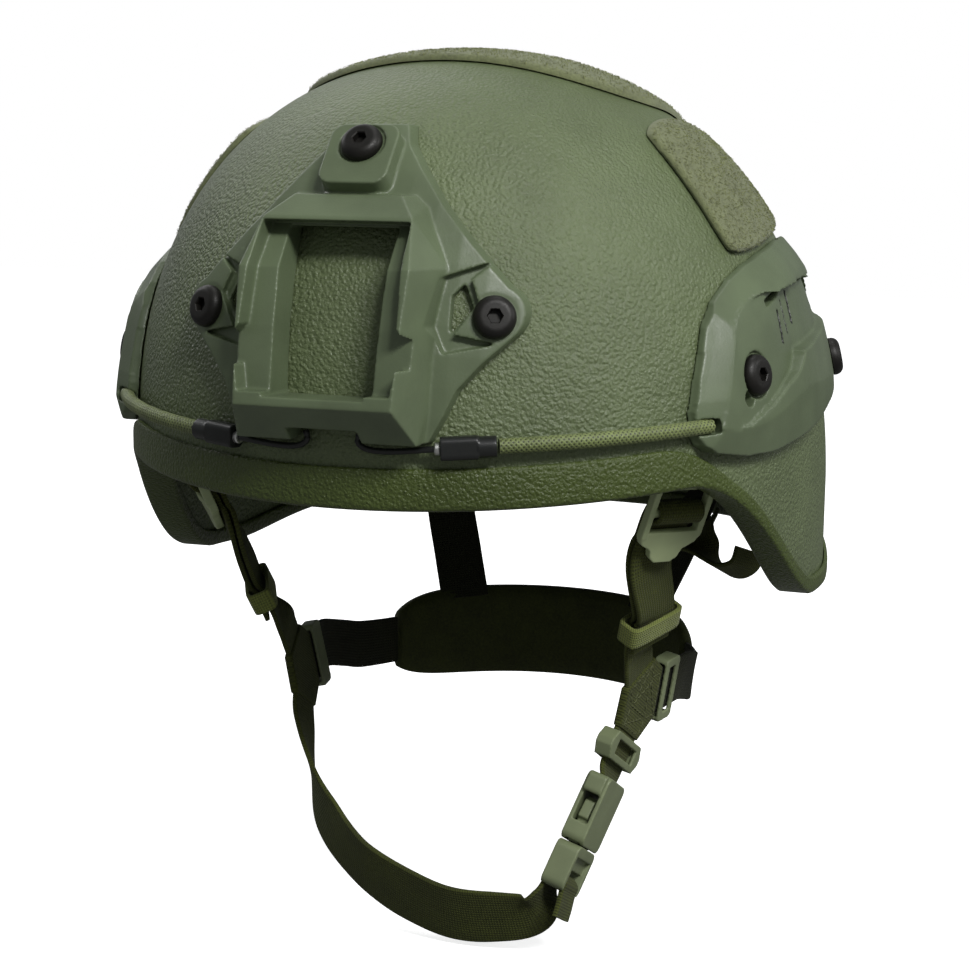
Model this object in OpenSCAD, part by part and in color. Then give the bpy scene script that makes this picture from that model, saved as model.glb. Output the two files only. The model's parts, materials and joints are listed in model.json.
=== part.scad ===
// Combat helmet with a front shroud, side rails, bungees, liner pads and a four point retention harness.
// Frame: +Z up, the front faces -Y and the wearer's left side is +X.
// The origin is in the head opening, level with the bottom of the brow edge.

/* [Shell] */
// Outside width of the shell over the ears
shell_w = 250; // [244:1:258]
// Distance from the origin to the outside of the brow
shell_front = 138; // [132:1:144]
// Distance from the origin to the outside of the nape
shell_back = 142; // [136:1:150]
// Height of the outside of the crown above the brow edge
crown_h = 151; // [146:1:158]
// How far the top of the crown lies ahead of the widest section
crown_fwd = 18; // [10:1:22]
// Thickness of the moulded laminate
wall = 9; // [7:0.5:10]
// Radius of the holes for the bolts
bolt_hole_r = 3.4; // [3.3:0.1:3.8]

/* [Rim] */
// Rise of the rim from the middle of the brow to the temples
brow_rise = 12; // [8:1:15]
// Drop of the ear lobes below the brow edge
lobe_drop = 38.5; // [34:0.5:44]
// Drop of the nape below the brow edge
nape_drop = 28; // [22:1:32]
// Height of the edge trim up the outside of the shell
trim_h = 14; // [10:1:15]
// Thickness of the edge trim
trim_t = 1.8; // [1.4:0.1:2.2]

/* [Shroud] */
// Sideways distance from the middle to each lower shroud bolt
bolt_dx = 48; // [46:0.5:50]
// Height of the lower shroud bolts
bolt_low_z = 62; // [60:0.5:64]
// Height of the top shroud bolt
bolt_top_z = 110.5; // [109:0.5:113]
// Thickness of the shroud wings
wing_t = 5.5; // [4.5:0.25:6.5]
// Half width of the shroud window at its foot
window_foot = 17.5; // [15:0.5:19]
// Half width of the shroud window at its head
window_head = 19; // [17:0.5:20.5]
// Depth of the guide recess behind the face of the shroud
recess_d = 7; // [5:0.5:8]

/* [Rails] */
// Thickness of the side rails
rail_t = 7.5; // [7:0.25:8.5]
// How much thinner the rail is toward the rear
rear_thinner = 3; // [2:0.25:3]
// Depth of the accessory channel in the rail
channel_d = 6; // [5:0.25:6.25]
// Depth of the sunk face between the front rail bolt and the channel
bowl_d = 2.75; // [1.5:0.25:3]
// Depth of the pockets round the rail bolts
pocket_d = 3; // [2.5:0.25:3.5]
// Angle from the side of the helmet to the front rail bolt
rail_bolt_front = 26; // [25:1:28]
// Angle from the side of the helmet to the rear rail bolt
rail_bolt_rear = 22; // [20:1:24]
// Height of the rail bolts
rail_bolt_z = 43; // [42:1:45]

/* [Fasteners] */
// Radius of the bolt heads
head_r = 7; // [6:0.25:7.5]
// Height of the bolt heads
head_h = 4; // [3.5:0.25:4.5]
// Radius of the bolt shanks
shank_r = 3; // [2.5:0.1:3.1]
// Radius of the nuts inside the shell
nut_r = 8; // [7:0.5:9]
// Thickness of the nuts inside the shell
nut_t = 3; // [2.5:0.25:3.5]

/* [Liner] */
// Thickness of the comfort pads
pad_t = 19; // [16:1:21]
// Thickness of the hook discs glued inside the shell
disc_t = 1.4; // [1:0.1:1.8]
// Radius of the hook discs
disc_r = 17; // [14:1:19]
// Radius of the crown pad
crown_pad_r = 56; // [50:1:60]

/* [Loop panels] */
// Thickness of the loop fastener panels
panel_t = 2.2; // [1.8:0.1:3]
// Half width of the crown panel
crown_panel_x = 68; // [60:1:70]

/* [Harness] */
// Width of the harness webbing
web_w = 20; // [18:0.5:21]
// Thickness of the harness webbing
web_t = 1.8; // [1.5:0.1:2]
// Width of the nape pad
nape_h = 37; // [34:1:39]
// Thickness of the nape pad
nape_t = 9; // [7:0.5:10]
// Width of the chin cup
cup_w = 25; // [22:1:27]
// Thickness of the anchor plates
plate_t = 1.5; // [1.2:0.1:1.8]

/* [Buckle] */
// Width of the buckle
buckle_w = 26; // [24:0.5:28]
// Thickness of the buckle
buckle_t = 9; // [8.5:0.25:10]
// Length of the buckle socket
socket_l = 26; // [24:1:28]
// Width of each spring arm
arm_w = 3.6; // [3:0.1:4]

/* [Bungees] */
// Diameter of the elastic cord
cord_d = 5; // [4:0.25:5.5]
// Diameter of the wire hooks
wire_d = 2.2; // [1.8:0.1:2.6]
// Length of the moulded connectors
connector_l = 18; // [16:1:19]

/* [Hidden] */

// Shape of the shell
plan_n = 2.1;
arch_side = 2.23;
arch_front = 2.21;
arch_back = 2.0;
lobe_from = 50;
lobe_to = 90;
nape_from = 99;
nape_to = 131;
shell_sides = 60;
shell_rows = 16;
liner_rows = 14;
// Gap between pieces that lie on each other
seat_gap = 0.3;
// Gap between a piece and the curved shell under it
skin_gap = 0.6;
half_w = shell_w / 2;
// Running clearance of a shank in its washer or nut
nut_fit = 0.12;
round_fn = 40;
olive = [0.36, 0.39, 0.30];
pale_olive = [0.44, 0.47, 0.38];
web_colour = [0.30, 0.30, 0.17];
dark_web = [0.12, 0.13, 0.08];
black = [0.07, 0.07, 0.08];

// Vector helpers
function unit(v) = v / norm(v);
function smooth(x) = let (c = min(1, max(0, x))) c * c * (3 - 2 * c);
function mix(a, b, s) = a + (b - a) * s;
function mirrored(p) = [-p[0], p[1], p[2]];

// Radius of the plan outline at angle t, grown by g
function plan_r(t, g) = let (a = (sin(t) < 0 ? shell_front : shell_back) + g)
    pow(pow(abs(cos(t)) / (half_w + g), plan_n) + pow(abs(sin(t)) / a, plan_n), -1 / plan_n);
// Roundness of the arch from rim to crown at angle t
function arch(t) = let (end = sin(t) < 0 ? arch_front : arch_back)
    arch_side * pow(cos(t), 2) + end * pow(sin(t), 2);
// Point of the shell's outside at angle t and height z, moved out by g
function on_shell(t, z, g = 0) =
    let (
        u = min(1, max(0, z / (crown_h + g))),
        m = arch(t),
        r = plan_r(t, g) * pow(max(0, 1 - pow(u, m)), 1 / m)
    ) [r * cos(t), r * sin(t) - crown_fwd * u, z];
// Outward direction of the shell's surface there
function out_of(t, z) =
    let (a = on_shell(t + 0.5, z) - on_shell(t - 0.5, z), b = on_shell(t, z + 0.5) - on_shell(t, z - 0.5))
    unit(cross(a, b));
// Angle on the front left quarter where the surface has the given x
function angle_at(x, z, g = 0, lo = -90, hi = 0, n = 24) =
    n == 0 ? (lo + hi) / 2 : let (m = (lo + hi) / 2)
    on_shell(m, z, g)[0] < x ? angle_at(x, z, g, m, hi, n - 1) : angle_at(x, z, g, lo, m, n - 1);
// Point of the front of the shell with the given x and z
function front_point(x, z, g = 0) =
    let (p = on_shell(angle_at(abs(x), z, g), z, g)) [x, p[1], z];
// Height of the top of the shell over x, y
function top_u(x, y, g, u = 1, n = 12) = n == 0 ? u :
    let (
        yy = y + crown_fwd * u,
        t = atan2(yy, x),
        m = arch(t),
        rho = min(1, norm([x, yy]) / plan_r(t, g))
    ) top_u(x, y, g, pow(1 - pow(rho, m), 1 / m), n - 1);
function on_top(x, y, g = 0) = [x, y, (crown_h + g) * top_u(x, y, g)];

// Height of the finished edge at angle t
function edge_z(t) =
    let (
        a = acos(-sin(t)),
        into_lobe = smooth((a - lobe_from) / (lobe_to - lobe_from)),
        into_nape = smooth((a - nape_from) / (nape_to - nape_from)),
        side = mix(brow_rise * pow(cos(t), 2), -lobe_drop, into_lobe)
    ) mix(side, -nape_drop, into_nape);
// Height of the trim at angle t: tall over the brow, narrow from the lobes back
function trim_up(t) = trim_h * mix(1, 0.45, smooth((acos(-sin(t)) - lobe_from + 5) / 16));
// Height of the shell's own rim, inside the trim
function rim_z(t) = edge_z(t) + trim_t;

// Frame with its origin at p, z along n and y as near as it gets to up
function frame_at(p, n, up = [0, 0, 1]) =
    let (z = unit(n), x = unit(cross(up, z)), y = cross(z, x))
    [[x[0], y[0], z[0], p[0]], [x[1], y[1], z[1], p[1]], [x[2], y[2], z[2], p[2]], [0, 0, 0, 1]];
function put(m, p) = [for (i = [0 : 2]) m[i][0] * p[0] + m[i][1] * p[1] + m[i][2] * p[2] + m[i][3]];
module on_surface(t, z) multmatrix(frame_at(on_shell(t, z), out_of(t, z))) children();

// Solid between a grid seen from outside and the grid behind it
module slab(outside, inside) {
    nu = len(outside);
    nv = len(outside[0]);
    deep = nu * nv;
    points = concat([for (r = outside) each r], [for (r = inside) each r]);
    edge = concat(
        [for (j = [0 : nv - 2]) j],
        [for (i = [0 : nu - 2]) i * nv + nv - 1],
        [for (j = [nv - 1 : -1 : 1]) (nu - 1) * nv + j],
        [for (i = [nu - 1 : -1 : 1]) i * nv]
    );
    n = len(edge);
    polyhedron(points, concat(
        [for (i = [0 : nu - 2], j = [0 : nv - 2]) each let (a = i * nv + j, b = a + nv)
            [[a, a + 1, b + 1], [a, b + 1, b], [deep + a, deep + b + 1, deep + a + 1],
            [deep + a, deep + b, deep + b + 1]]],
        [for (k = [0 : n - 1]) each let (a = edge[k], b = edge[(k + 1) % n])
            [[b, a, deep + a], [b, deep + a, deep + b]]]
    ), convexity = 6);
}

// Solid between rings of points round a middle point, outside and inside
module round_slab(outside, inside) {
    rings = len(outside) - 1;
    n = len(outside[1]);
    deep = 1 + rings * n;
    function at(k, i) = k == 0 ? 0 : 1 + (k - 1) * n + i % n;
    points = concat([for (r = outside) each r], [for (r = inside) each r]);
    polyhedron(points, concat(
        [for (i = [0 : n - 1]) each let (a = at(1, i), b = at(1, i + 1))
            [[0, b, a], [deep, deep + a, deep + b]]],
        [for (k = [1 : rings - 1], i = [0 : n - 1]) each
            let (a = at(k, i), b = at(k, i + 1), c = at(k + 1, i + 1), d = at(k + 1, i))
            [[a, b, c], [a, c, d], [deep + a, deep + c, deep + b], [deep + a, deep + d, deep + c]]],
        [for (i = [0 : n - 1]) each let (a = at(rings, i), b = at(rings, i + 1))
            [[a, b, deep + b], [a, deep + b, deep + a]]]
    ), convexity = 6);
}

// Solid through a row of like rings, with flat ends or closed on itself
module loft(rings, closed = false) {
    n = len(rings);
    s = len(rings[0]);
    last = closed ? n - 1 : n - 2;
    polyhedron([for (r = rings) each r], concat(
        [for (i = [0 : last], j = [0 : s - 1]) each
            let (a = i * s + j, b = i * s + (j + 1) % s,
                c = ((i + 1) % n) * s + (j + 1) % s, d = ((i + 1) % n) * s + j)
            [[a, b, c], [a, c, d]]],
        closed ? [] : [for (j = [1 : s - 2]) [(n - 1) * s, (n - 1) * s + j, (n - 1) * s + j + 1]],
        closed ? [] : [for (j = [1 : s - 2]) [0, j + 1, j]]
    ), convexity = 6);
}

// Smooth curve through hand placed points
function curve(p, i, u) =
    let (
        n = len(p) - 1,
        a = i > 0 ? p[i - 1] : 2 * p[0] - p[1],
        b = p[i],
        c = p[i + 1],
        d = i + 2 <= n ? p[i + 2] : 2 * p[n] - p[n - 1]
    ) 0.5 * (2 * b + (c - a) * u + (2 * a - 5 * b + 4 * c - d) * u * u + (3 * b - a - 3 * c + d) * u * u * u);
function run(p, steps) = concat(
    [for (i = [0 : len(p) - 2], s = [0 : steps - 1]) curve(p, i, s / steps)], [p[len(p) - 1]]);
function heading(q, i) = unit(q[min(i + 1, len(q) - 1)] - q[max(i - 1, 0)]);

// Flat webbing along points, with the outward direction and the width at each
module webbing(points, faces, widths, thick, steps = 3) {
    q = run(points, steps);
    f = run(faces, steps);
    w = run([for (x = widths) [x]], steps);
    loft([for (i = [0 : len(q) - 1])
        let (
            along = heading(q, i),
            side = unit(cross(along, f[i])) * w[i][0] / 2,
            up = unit(cross(side, along)) * thick / 2
        ) [q[i] + side + up, q[i] - side + up, q[i] - side - up, q[i] + side - up]]);
}

// Round cord or wire along points
module round_cord(points, d, sides, steps = 2) {
    q = run(points, steps);
    loft([for (i = [0 : len(q) - 1])
        let (along = heading(q, i), a = unit(cross(along, [0.1, 0.2, 1])), b = cross(along, a))
        [for (k = [0 : sides - 1]) q[i] + (a * cos(-360 * k / sides) + b * sin(-360 * k / sides)) * d / 2]]);
}

module rounded_plate(w, l, t, r) {
    linear_extrude(t) offset_free_rect(w, l, r);
}
// Rectangle with round corners, built from circles so that it stays exact
module offset_free_rect(w, l, r) {
    square([w - 2 * r, l], center = true);
    square([w, l - 2 * r], center = true);
    for (x = [-1, 1], y = [-1, 1]) translate([x * (w / 2 - r), y * (l / 2 - r)]) circle(r, $fn = round_fn);
}

// Shell
module shell() color(olive) difference() {
    skin(0, -wall);
    for (s = [-1, 1]) {
        bolt_path(s) cylinder(h = 60, r = bolt_hole_r, center = true, $fn = round_fn);
        rail_bolt(s, -rail_bolt_front) cylinder(h = 60, r = bolt_hole_r, center = true, $fn = round_fn);
        rail_bolt(s, rail_bolt_rear) cylinder(h = 60, r = bolt_hole_r, center = true, $fn = round_fn);
        rear_bolt(s) cylinder(h = 60, r = bolt_hole_r, center = true, $fn = round_fn);
    }
    top_bolt() cylinder(h = 60, r = bolt_hole_r, center = true, $fn = round_fn);
}

// Closed laminate from the rim to the crown between two offsets of the surface
module skin(outer_g, inner_g) {
    n = shell_sides;
    function row_z(t, g, s) = mix(rim_z(t), crown_h + g, sin(90 * s));
    outer = [for (j = [0 : shell_rows - 1], i = [0 : n - 1])
        let (t = 360 * i / n) on_shell(t, row_z(t, outer_g, j / shell_rows), outer_g)];
    inner = [for (j = [0 : liner_rows - 1], i = [0 : n - 1])
        let (t = 360 * i / n) on_shell(t, row_z(t, inner_g, j / liner_rows), inner_g)];
    first = len(outer);
    top = first + len(inner);
    function q(base, j, i) = base + j * n + i % n;
    polyhedron(concat(outer, inner, [[0, -crown_fwd, crown_h + outer_g], [0, -crown_fwd, crown_h + inner_g]]),
        concat(
            [for (j = [0 : shell_rows - 2], i = [0 : n - 1]) each
                [[q(0, j, i), q(0, j + 1, i), q(0, j + 1, i + 1)],
                    [q(0, j, i), q(0, j + 1, i + 1), q(0, j, i + 1)]]],
            [for (i = [0 : n - 1]) [q(0, shell_rows - 1, i), top, q(0, shell_rows - 1, i + 1)]],
            [for (j = [0 : liner_rows - 2], i = [0 : n - 1]) each
                [[q(first, j, i), q(first, j + 1, i + 1), q(first, j + 1, i)],
                [q(first, j, i), q(first, j, i + 1), q(first, j + 1, i + 1)]]],
            [for (i = [0 : n - 1])
                [q(first, liner_rows - 1, i), q(first, liner_rows - 1, i + 1), top + 1]],
            [for (i = [0 : n - 1]) each
                [[q(0, 0, i), q(0, 0, i + 1), q(first, 0, i + 1)],
                    [q(0, 0, i), q(first, 0, i + 1), q(first, 0, i)]]]
        ), convexity = 8);
}

// Edge trim: a U channel over the whole rim
trim_gap = 0.4;
module edge_trim() color(olive) loft([for (i = [0 : shell_sides - 1])
    let (t = 360 * i / shell_sides, z = edge_z(t), top = z + trim_up(t), in = -wall, lip = trim_t)
    [on_shell(t, z, lip - 1), on_shell(t, z + 1.5, lip), on_shell(t, top - 1, lip), on_shell(t, top, lip - 0.8),
    on_shell(t, top, trim_gap), on_shell(t, z + lip - seat_gap, trim_gap),
    on_shell(t, z + lip - seat_gap, in - trim_gap),
    on_shell(t, top, in - trim_gap), on_shell(t, top, in - lip), on_shell(t, z + 1, in - lip),
    on_shell(t, z, in - lip + 1)]], closed = true);

// Places of the bolts
module bolt_path(side) on_surface(side < 0 ? -180 - low_bolt_t : low_bolt_t, bolt_low_z) children();
low_bolt_t = angle_at(bolt_dx, bolt_low_z);
module top_bolt() on_surface(-90, bolt_top_z) children();
module rail_bolt(side, angle) on_surface(side > 0 ? angle : 180 - angle, rail_bolt_z) children();
rear_bolt_t = 62;
rear_bolt_z = 12;
module rear_bolt(side) on_surface(side > 0 ? rear_bolt_t : 180 - rear_bolt_t, rear_bolt_z) children();

// Block that ends at the front of the shell, moved out by g
front_half = 66;
front_foot = 12;
front_head = 128;
module front_block(g) {
    nx = 14;
    nz = 12;
    face = [for (i = [0 : nx]) [for (j = [0 : nz])
        front_point(mix(-front_half, front_half, i / nx), mix(front_foot, front_head, j / nz), g)]];
    back = [for (r = face) [for (p = r) [p[0], -40, p[2]]]];
    slab(face, back);
}

// Shroud
wing_tip_r = 9.5;
block_w = 24;
block_l = 24.5;
block_h = 11;
// Face of the shroud in side view, as y and z, from the foot up
shroud_face = [[-148.5, 22.5], [-159.5, 34.5], [-156, 59], [-151.5, 77.5], [-141, 93.5], [-132.5, 100.5]];
module front_extrude(depth = 120) rotate([90, 0, 0]) linear_extrude(depth + 60) children();
module both_sides() {
    children();
    mirror([1, 0, 0]) children();
}
// Outline of the left half, as x and z
module shroud_outline() {
    both_sides() polygon([[-1, 124], [11, 124], [14, 117], [31, 96.5], [bolt_dx + 5, bolt_low_z + 11],
        [bolt_dx + 10, bolt_low_z + 2], [bolt_dx + 7.5, bolt_low_z - 5.5], [47.5, 48.5], [40.5, 40],
        [36.7, 31.5], [32.5, 23.4],
        [16.5, 22.6], [13, 28], [-1, 28]]);
    both_sides() translate([bolt_dx + 1.5, bolt_low_z + 2]) circle(wing_tip_r, $fn = round_fn);
}
module kite_pocket() polygon([[48.5, 81], [33.5, 75.5], [31.5, 60], [35.5, 51.5],
    [52, 55], [38.5, 57.5], [45, 68], [42, 75]]);
module kite_hole() polygon([[39.5, 73.5], [36, 69.5], [36.5, 57.5], [43, 65.5]]);
module shroud_window() polygon([[-window_foot, 37], [window_foot, 37],
    [window_head, 90.5], [-window_head, 90.5]]);
module guide_outline() polygon([[-25.5, 94], [-27, 59.5], [-31, 55], [-34.5, 47.2], [-27.5, 46.8],
    [-26, 38.5], [26, 38.5], [27.5, 46.8], [34.5, 47.2], [31, 55], [27, 59.5], [25.5, 94]]);
module side_extrude(w) translate([-w / 2, 0, 0]) rotate([90, 0, 90]) linear_extrude(w) children();
module shroud() color(pale_olive) difference() {
    union() {
        intersection() {
            front_extrude() shroud_outline();
            front_block(seat_gap + wing_t);
        }
        hull() {
            for (s = [-1, 1]) {
                for (k = [1 : 3]) translate([s * (26 + k), shroud_face[k][0], shroud_face[k][1]])
                    cube(0.6, center = true);
                translate([s * 31, shroud_face[0][0] + 1, 23]) cube(0.6, center = true);
                translate([s * 25.5, shroud_face[4][0], shroud_face[4][1]]) cube(0.6, center = true);
                translate([s * 18.5, shroud_face[5][0], shroud_face[5][1]]) cube(0.6, center = true);
                translate([s * 33.5, -136, 45]) cube(0.6, center = true);
                translate([s * 34.5, -132, 78]) cube(0.6, center = true);
                translate([s * 24, -112, 101]) cube(0.6, center = true);
                translate([s * 32, -120, 25]) cube(0.6, center = true);
            }
        }
        top_bolt() translate([0, -4, -4]) rounded_plate(block_w, block_l, block_h + 4, 5);
    }
    front_block(seat_gap);
    both_sides() difference() {
        front_extrude() kite_pocket();
        front_block(seat_gap + wing_t - 2.8);
    }
    both_sides() front_extrude() kite_hole();
    front_extrude() shroud_window();
    intersection() {
        front_extrude() guide_outline();
        side_extrude(80) polygon([[-200, 38], [shroud_face[1][0] + recess_d, 38],
            [shroud_face[2][0] + recess_d, 59],
            [shroud_face[3][0] + recess_d, 77.5], [shroud_face[4][0] + recess_d, 92], [-200, 96]]);
    }
    front_extrude(140) translate([0, 16]) square([24.4, 22], center = true);
    for (s = [-1, 1]) bolt_path(s) {
        cylinder(h = 60, r = bolt_hole_r, center = true, $fn = round_fn);
        translate([0, 0, seat_gap + wing_t - 0.4]) cylinder(h = 20, r = head_r + 1, $fn = round_fn);
    }
    top_bolt() {
        cylinder(h = 60, r = bolt_hole_r, center = true, $fn = round_fn);
        translate([0, 0, block_h - 1]) cylinder(h = 20, r = head_r + 1, $fn = round_fn);
    }
}

// Button head screw with a hexagon socket, its head's seat at height seat
module screw(seat, tip) {
    difference() {
        union() {
            translate([0, 0, seat]) cylinder(h = head_h * 0.35, r = head_r, $fn = round_fn);
            translate([0, 0, seat + head_h * 0.35])
                cylinder(h = head_h * 0.65, r1 = head_r, r2 = head_r * 0.6, $fn = round_fn);
            translate([0, 0, tip]) cylinder(h = seat - tip + 0.1, r = shank_r, $fn = round_fn);
        }
        translate([0, 0, seat + head_h * 0.35]) cylinder(h = head_h, r = 2.4, $fn = 6);
    }
}
screw_tip = -wall - nut_t - 4;
module shroud_screws() color(black) {
    for (s = [-1, 1]) bolt_path(s) screw(seat_gap + wing_t - 0.4 + 0.05, screw_tip);
    top_bolt() screw(block_h - 1 + 0.05, screw_tip);
}
nut_seat = -wall - seat_gap - nut_r * nut_r / (2 * half_w) - 0.35;
module nut(top) difference() {
    translate([0, 0, top - nut_t]) cylinder(h = nut_t, r = nut_r, $fn = round_fn);
    cylinder(h = 80, r = shank_r + nut_fit, center = true, $fn = round_fn);
}
module shroud_nuts() color("silver") {
    for (s = [-1, 1]) bolt_path(s) nut(nut_seat);
    top_bolt() nut(nut_seat - 0.4);
}

// Side rails
rail_seat = skin_gap + rail_t - pocket_d;
// Height of the crease between the side face and the lower bevel at angle t
function crease_z(t) = mix(27, 39, smooth((t + 30) / 22));
// Height of the rail's top edge at angle t
function rail_top(t) = lookup(t, [[-39, 62], [-33, 62.5], [-30, 67], [-24, 75], [-18.6, 79.6], [-10.9, 83.6],
    [0, 87.2], [11, 89.6], [21.7, 87], [30.6, 79], [36, 68], [46, 58]]);
// Rows of the rail's faces at angle t, and how far each row drops below the full face
function rail_rows(t) = let (a = crease_z(t), b = rail_top(t) - 10)
    [12, 17, a, mix(a, b, 0.35), mix(a, b, 0.7), b, b + 5, b + 10, b + 15];
rail_drop = [3.2, 3.2, 0, 0, 0, 0, 1.8, 4.4, 6.4];
// Angle of the front edge at each row; the first three columns make the bevel of the front face
rail_front = [-38.5, -38.5, -38.5, -37.6, -35.6, -33.8, -32.6, -31, -29.5];
rail_first = [-4, 0, 4.2];
rail_columns = 12;
// Outer face of the rail at angle t, thinner toward the rear
function rail_face(t) = skin_gap + mix(rail_t, rail_t - rear_thinner, smooth((t + 14) / 22));
module side_skin(low, high, bevel = 0) {
    nt = rail_columns + 2;
    function front_drop(i) = i == 0 ? 6.6 : i == 1 ? 3.6 : 0;
    function angle(i, j) = i < 3 ? rail_front[j] + rail_first[i]
        : mix(rail_front[j] + 4.2, 44, (i - 2) / rail_columns);
    function at(i, j, g, drop) = let (t = angle(i, j))
        on_shell(t, rail_rows(t)[j], skin_gap + (g(t) - skin_gap) * (1 - drop / rail_t));
    slab([for (i = [0 : nt]) [for (j = [0 : 8]) at(i, j, high, bevel * max(front_drop(i), rail_drop[j]))]],
        [for (i = [0 : nt]) [for (j = [0 : 8]) at(i, j, low, 0)]]);
}
module toward_side() translate([40, 0, 0]) rotate([90, 0, 90]) linear_extrude(120) children();
// Outlines of the rail in side view, as y and z
module rail_outline() polygon([[-86.5, 26], [-86, 33], [-83, 44], [-76.5, 60], [-70, 68], [-59, 75],
    [-47.7, 79.6], [-31.8, 83.6], [-9.4, 87.2], [12, 89.6], [34, 87], [54, 79], [68, 68], [74, 56], [72, 46],
    [60, 39], [30, 33], [0, 27.5], [-30, 21.5], [-50, 17.6], [-66, 17], [-80, 18.8], [-84.5, 21.5]]);
module channel_outline() polygon([[-47, 50.5], [-50, 60], [-47, 67.5], [-38, 71.5], [-24, 73], [16, 75.5],
    [48, 73], [58, 66], [59, 60], [33, 58.5], [0, 54.5], [-26, 51], [-40, 48.5]]);
// Sunk face round the front bolt, which slopes down toward the channel
module bowl_outline() polygon([[-66, 67], [-71, 59], [-78, 40], [-82, 27], [-72.5, 27], [-63.8, 30],
    [-55.2, 34.5],
    [-45.4, 40], [-36, 44], [-29, 49], [-23, 57], [-18, 63], [-36, 71], [-48, 71]]);
function sunk(t) = max(skin_gap + rail_t - channel_d,
    rail_face(t) - lookup(t, [[-34, 0], [-18, bowl_d], [-7, channel_d]]));
module left_rail() color(pale_olive) rail();
module right_rail() color(pale_olive) mirror([1, 0, 0]) rail();
module rail() difference() {
    intersection() {
        toward_side() rail_outline();
        side_skin(function(t) skin_gap, function(t) rail_face(t), 1);
    }
    intersection() {
        toward_side() union() {
            channel_outline();
            bowl_outline();
        }
        side_skin(function(t) sunk(t), function(t) skin_gap + rail_t + 20);
    }
    for (a = [-rail_bolt_front, rail_bolt_rear]) rail_bolt(1, a) {
        cylinder(h = 60, r = bolt_hole_r, center = true, $fn = round_fn);
        translate([0, 0, rail_seat]) cylinder(h = 30, r = head_r + 1, $fn = round_fn);
    }
    // Keyhole beside the front bolt
    rail_bolt(1, -rail_bolt_front) translate([-5.5, -7.5, rail_seat - 3])
        cylinder(h = 30, r = 2.8, $fn = round_fn);
    // Undercut of the accessory channel, under its upper edge
    toward_side() translate([12, 74.4]) rotate(2) square([56, 1.6], center = true);
    toward_side() translate([-36.5, 69.3]) rotate(12.4) square([21.5, 2.4], center = true);
    // Slanted vents in the channel
    for (k = [0 : 2]) toward_side() translate([-37 + 9 * k, 59 + 3 * k]) rotate(-6)
        square([1.5, 11], center = true);
    // Bore that holds the knot of the cord
    round_cord(bore_run, cord_d + 0.8, 12, 1);
}

module rail_screws() color(black) for (s = [-1, 1], a = [-rail_bolt_front, rail_bolt_rear])
    rail_bolt(s, a) screw(rail_seat + 0.05, a < 0 ? screw_tip - plate_t : screw_tip);
module rail_nuts() color("silver") for (s = [-1, 1]) {
    rail_bolt(s, -rail_bolt_front) nut(plate_seat);
    rail_bolt(s, rail_bolt_rear) nut(nut_seat);
}
module rear_screws() color(black) for (s = [-1, 1]) rear_bolt(s) screw(0.3, screw_tip - plate_t);
module rear_nuts() color("silver") for (s = [-1, 1]) rear_bolt(s) nut(plate_seat - 0.2);

// Anchor plates that follow the inside of the shell under the front rail bolts and the rear bolts,
// with a slot for the webbing
plate_w = 22;
plate_up = 10;
plate_drop = 19;
plate_g = -wall - skin_gap - 0.3;
plate_seat = plate_g - plate_t - 0.5;
module plate(t, z) difference() {
    slab([for (i = [-2 : 2]) [for (j = [0 : 3]) plate_point(t, z, i, j, plate_g)]],
        [for (i = [-2 : 2]) [for (j = [0 : 3]) plate_point(t, z, i, j, plate_g - plate_t)]]);
    on_surface(t, z) {
        cylinder(h = 60, r = bolt_hole_r, center = true, $fn = round_fn);
        translate([0, -14.5, 0]) cube([15, 4, 60], center = true);
    }
}
function plate_point(t, z, i, j, g) =
    on_shell(t + i * plate_w / 4 / half_w * 57, z + mix(-plate_drop, plate_up, j / 3), g);
module anchor_plates() color("silver") both_sides() {
    plate(-rail_bolt_front, rail_bolt_z);
    plate(rear_bolt_t, rear_bolt_z);
}

// Loop fastener panels
module panel(t0, t1, t2, t3, z0, z1, z2, z3, bow = 0) {
    nt = 10;
    nz = 6;
    function p(i, j, g) = let (s = i / nt, r = j / nz)
        on_shell(mix(mix(t0, t1, s), mix(t3, t2, s), r),
            mix(mix(z0, z1, s), mix(z3, z2, s) + bow * 4 * s * (1 - s), r), g);
    slab([for (i = [0 : nt]) [for (j = [0 : nz]) p(i, j, skin_gap + panel_t)]],
        [for (i = [0 : nt]) [for (j = [0 : nz]) p(i, j, skin_gap)]]);
}
module left_panel() color(web_colour) side_panel();
module right_panel() color(web_colour) mirror([1, 0, 0]) side_panel();
module side_panel() panel(-21.5, 31, 34, -27.5, 82.5, 98.5, crown_h - 33, crown_h - 26.5, 8);
module rear_panel() color(web_colour) panel(72, 108, 108, 72, 42, 42, 92, 92);
crown_panel_y0 = -54;
crown_panel_y1 = 66;
module crown_panel() {
    n = 32;
    rings = 5;
    mid = (crown_panel_y0 + crown_panel_y1) / 2;
    half = (crown_panel_y1 - crown_panel_y0) / 2;
    function reach(a) = pow(pow(abs(cos(a)) / crown_panel_x, 3) + pow(abs(sin(a)) / half, 3), -1 / 3);
    function ring(k, g) = k == 0 ? [on_top(0, mid, g)] : [for (i = [0 : n - 1])
        let (a = 360 * i / n, r = reach(a) * k / rings) on_top(r * cos(a), mid + r * sin(a), g)];
    color(web_colour)
        round_slab([for (k = [0 : rings]) ring(k, skin_gap + panel_t)],
            [for (k = [0 : rings]) ring(k, skin_gap)]);
}

// Liner: hook discs and comfort pads
disc_g = -wall - skin_gap;
pad_g = disc_g - disc_t - seat_gap - 0.2;
pad_edge = 7;
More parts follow.
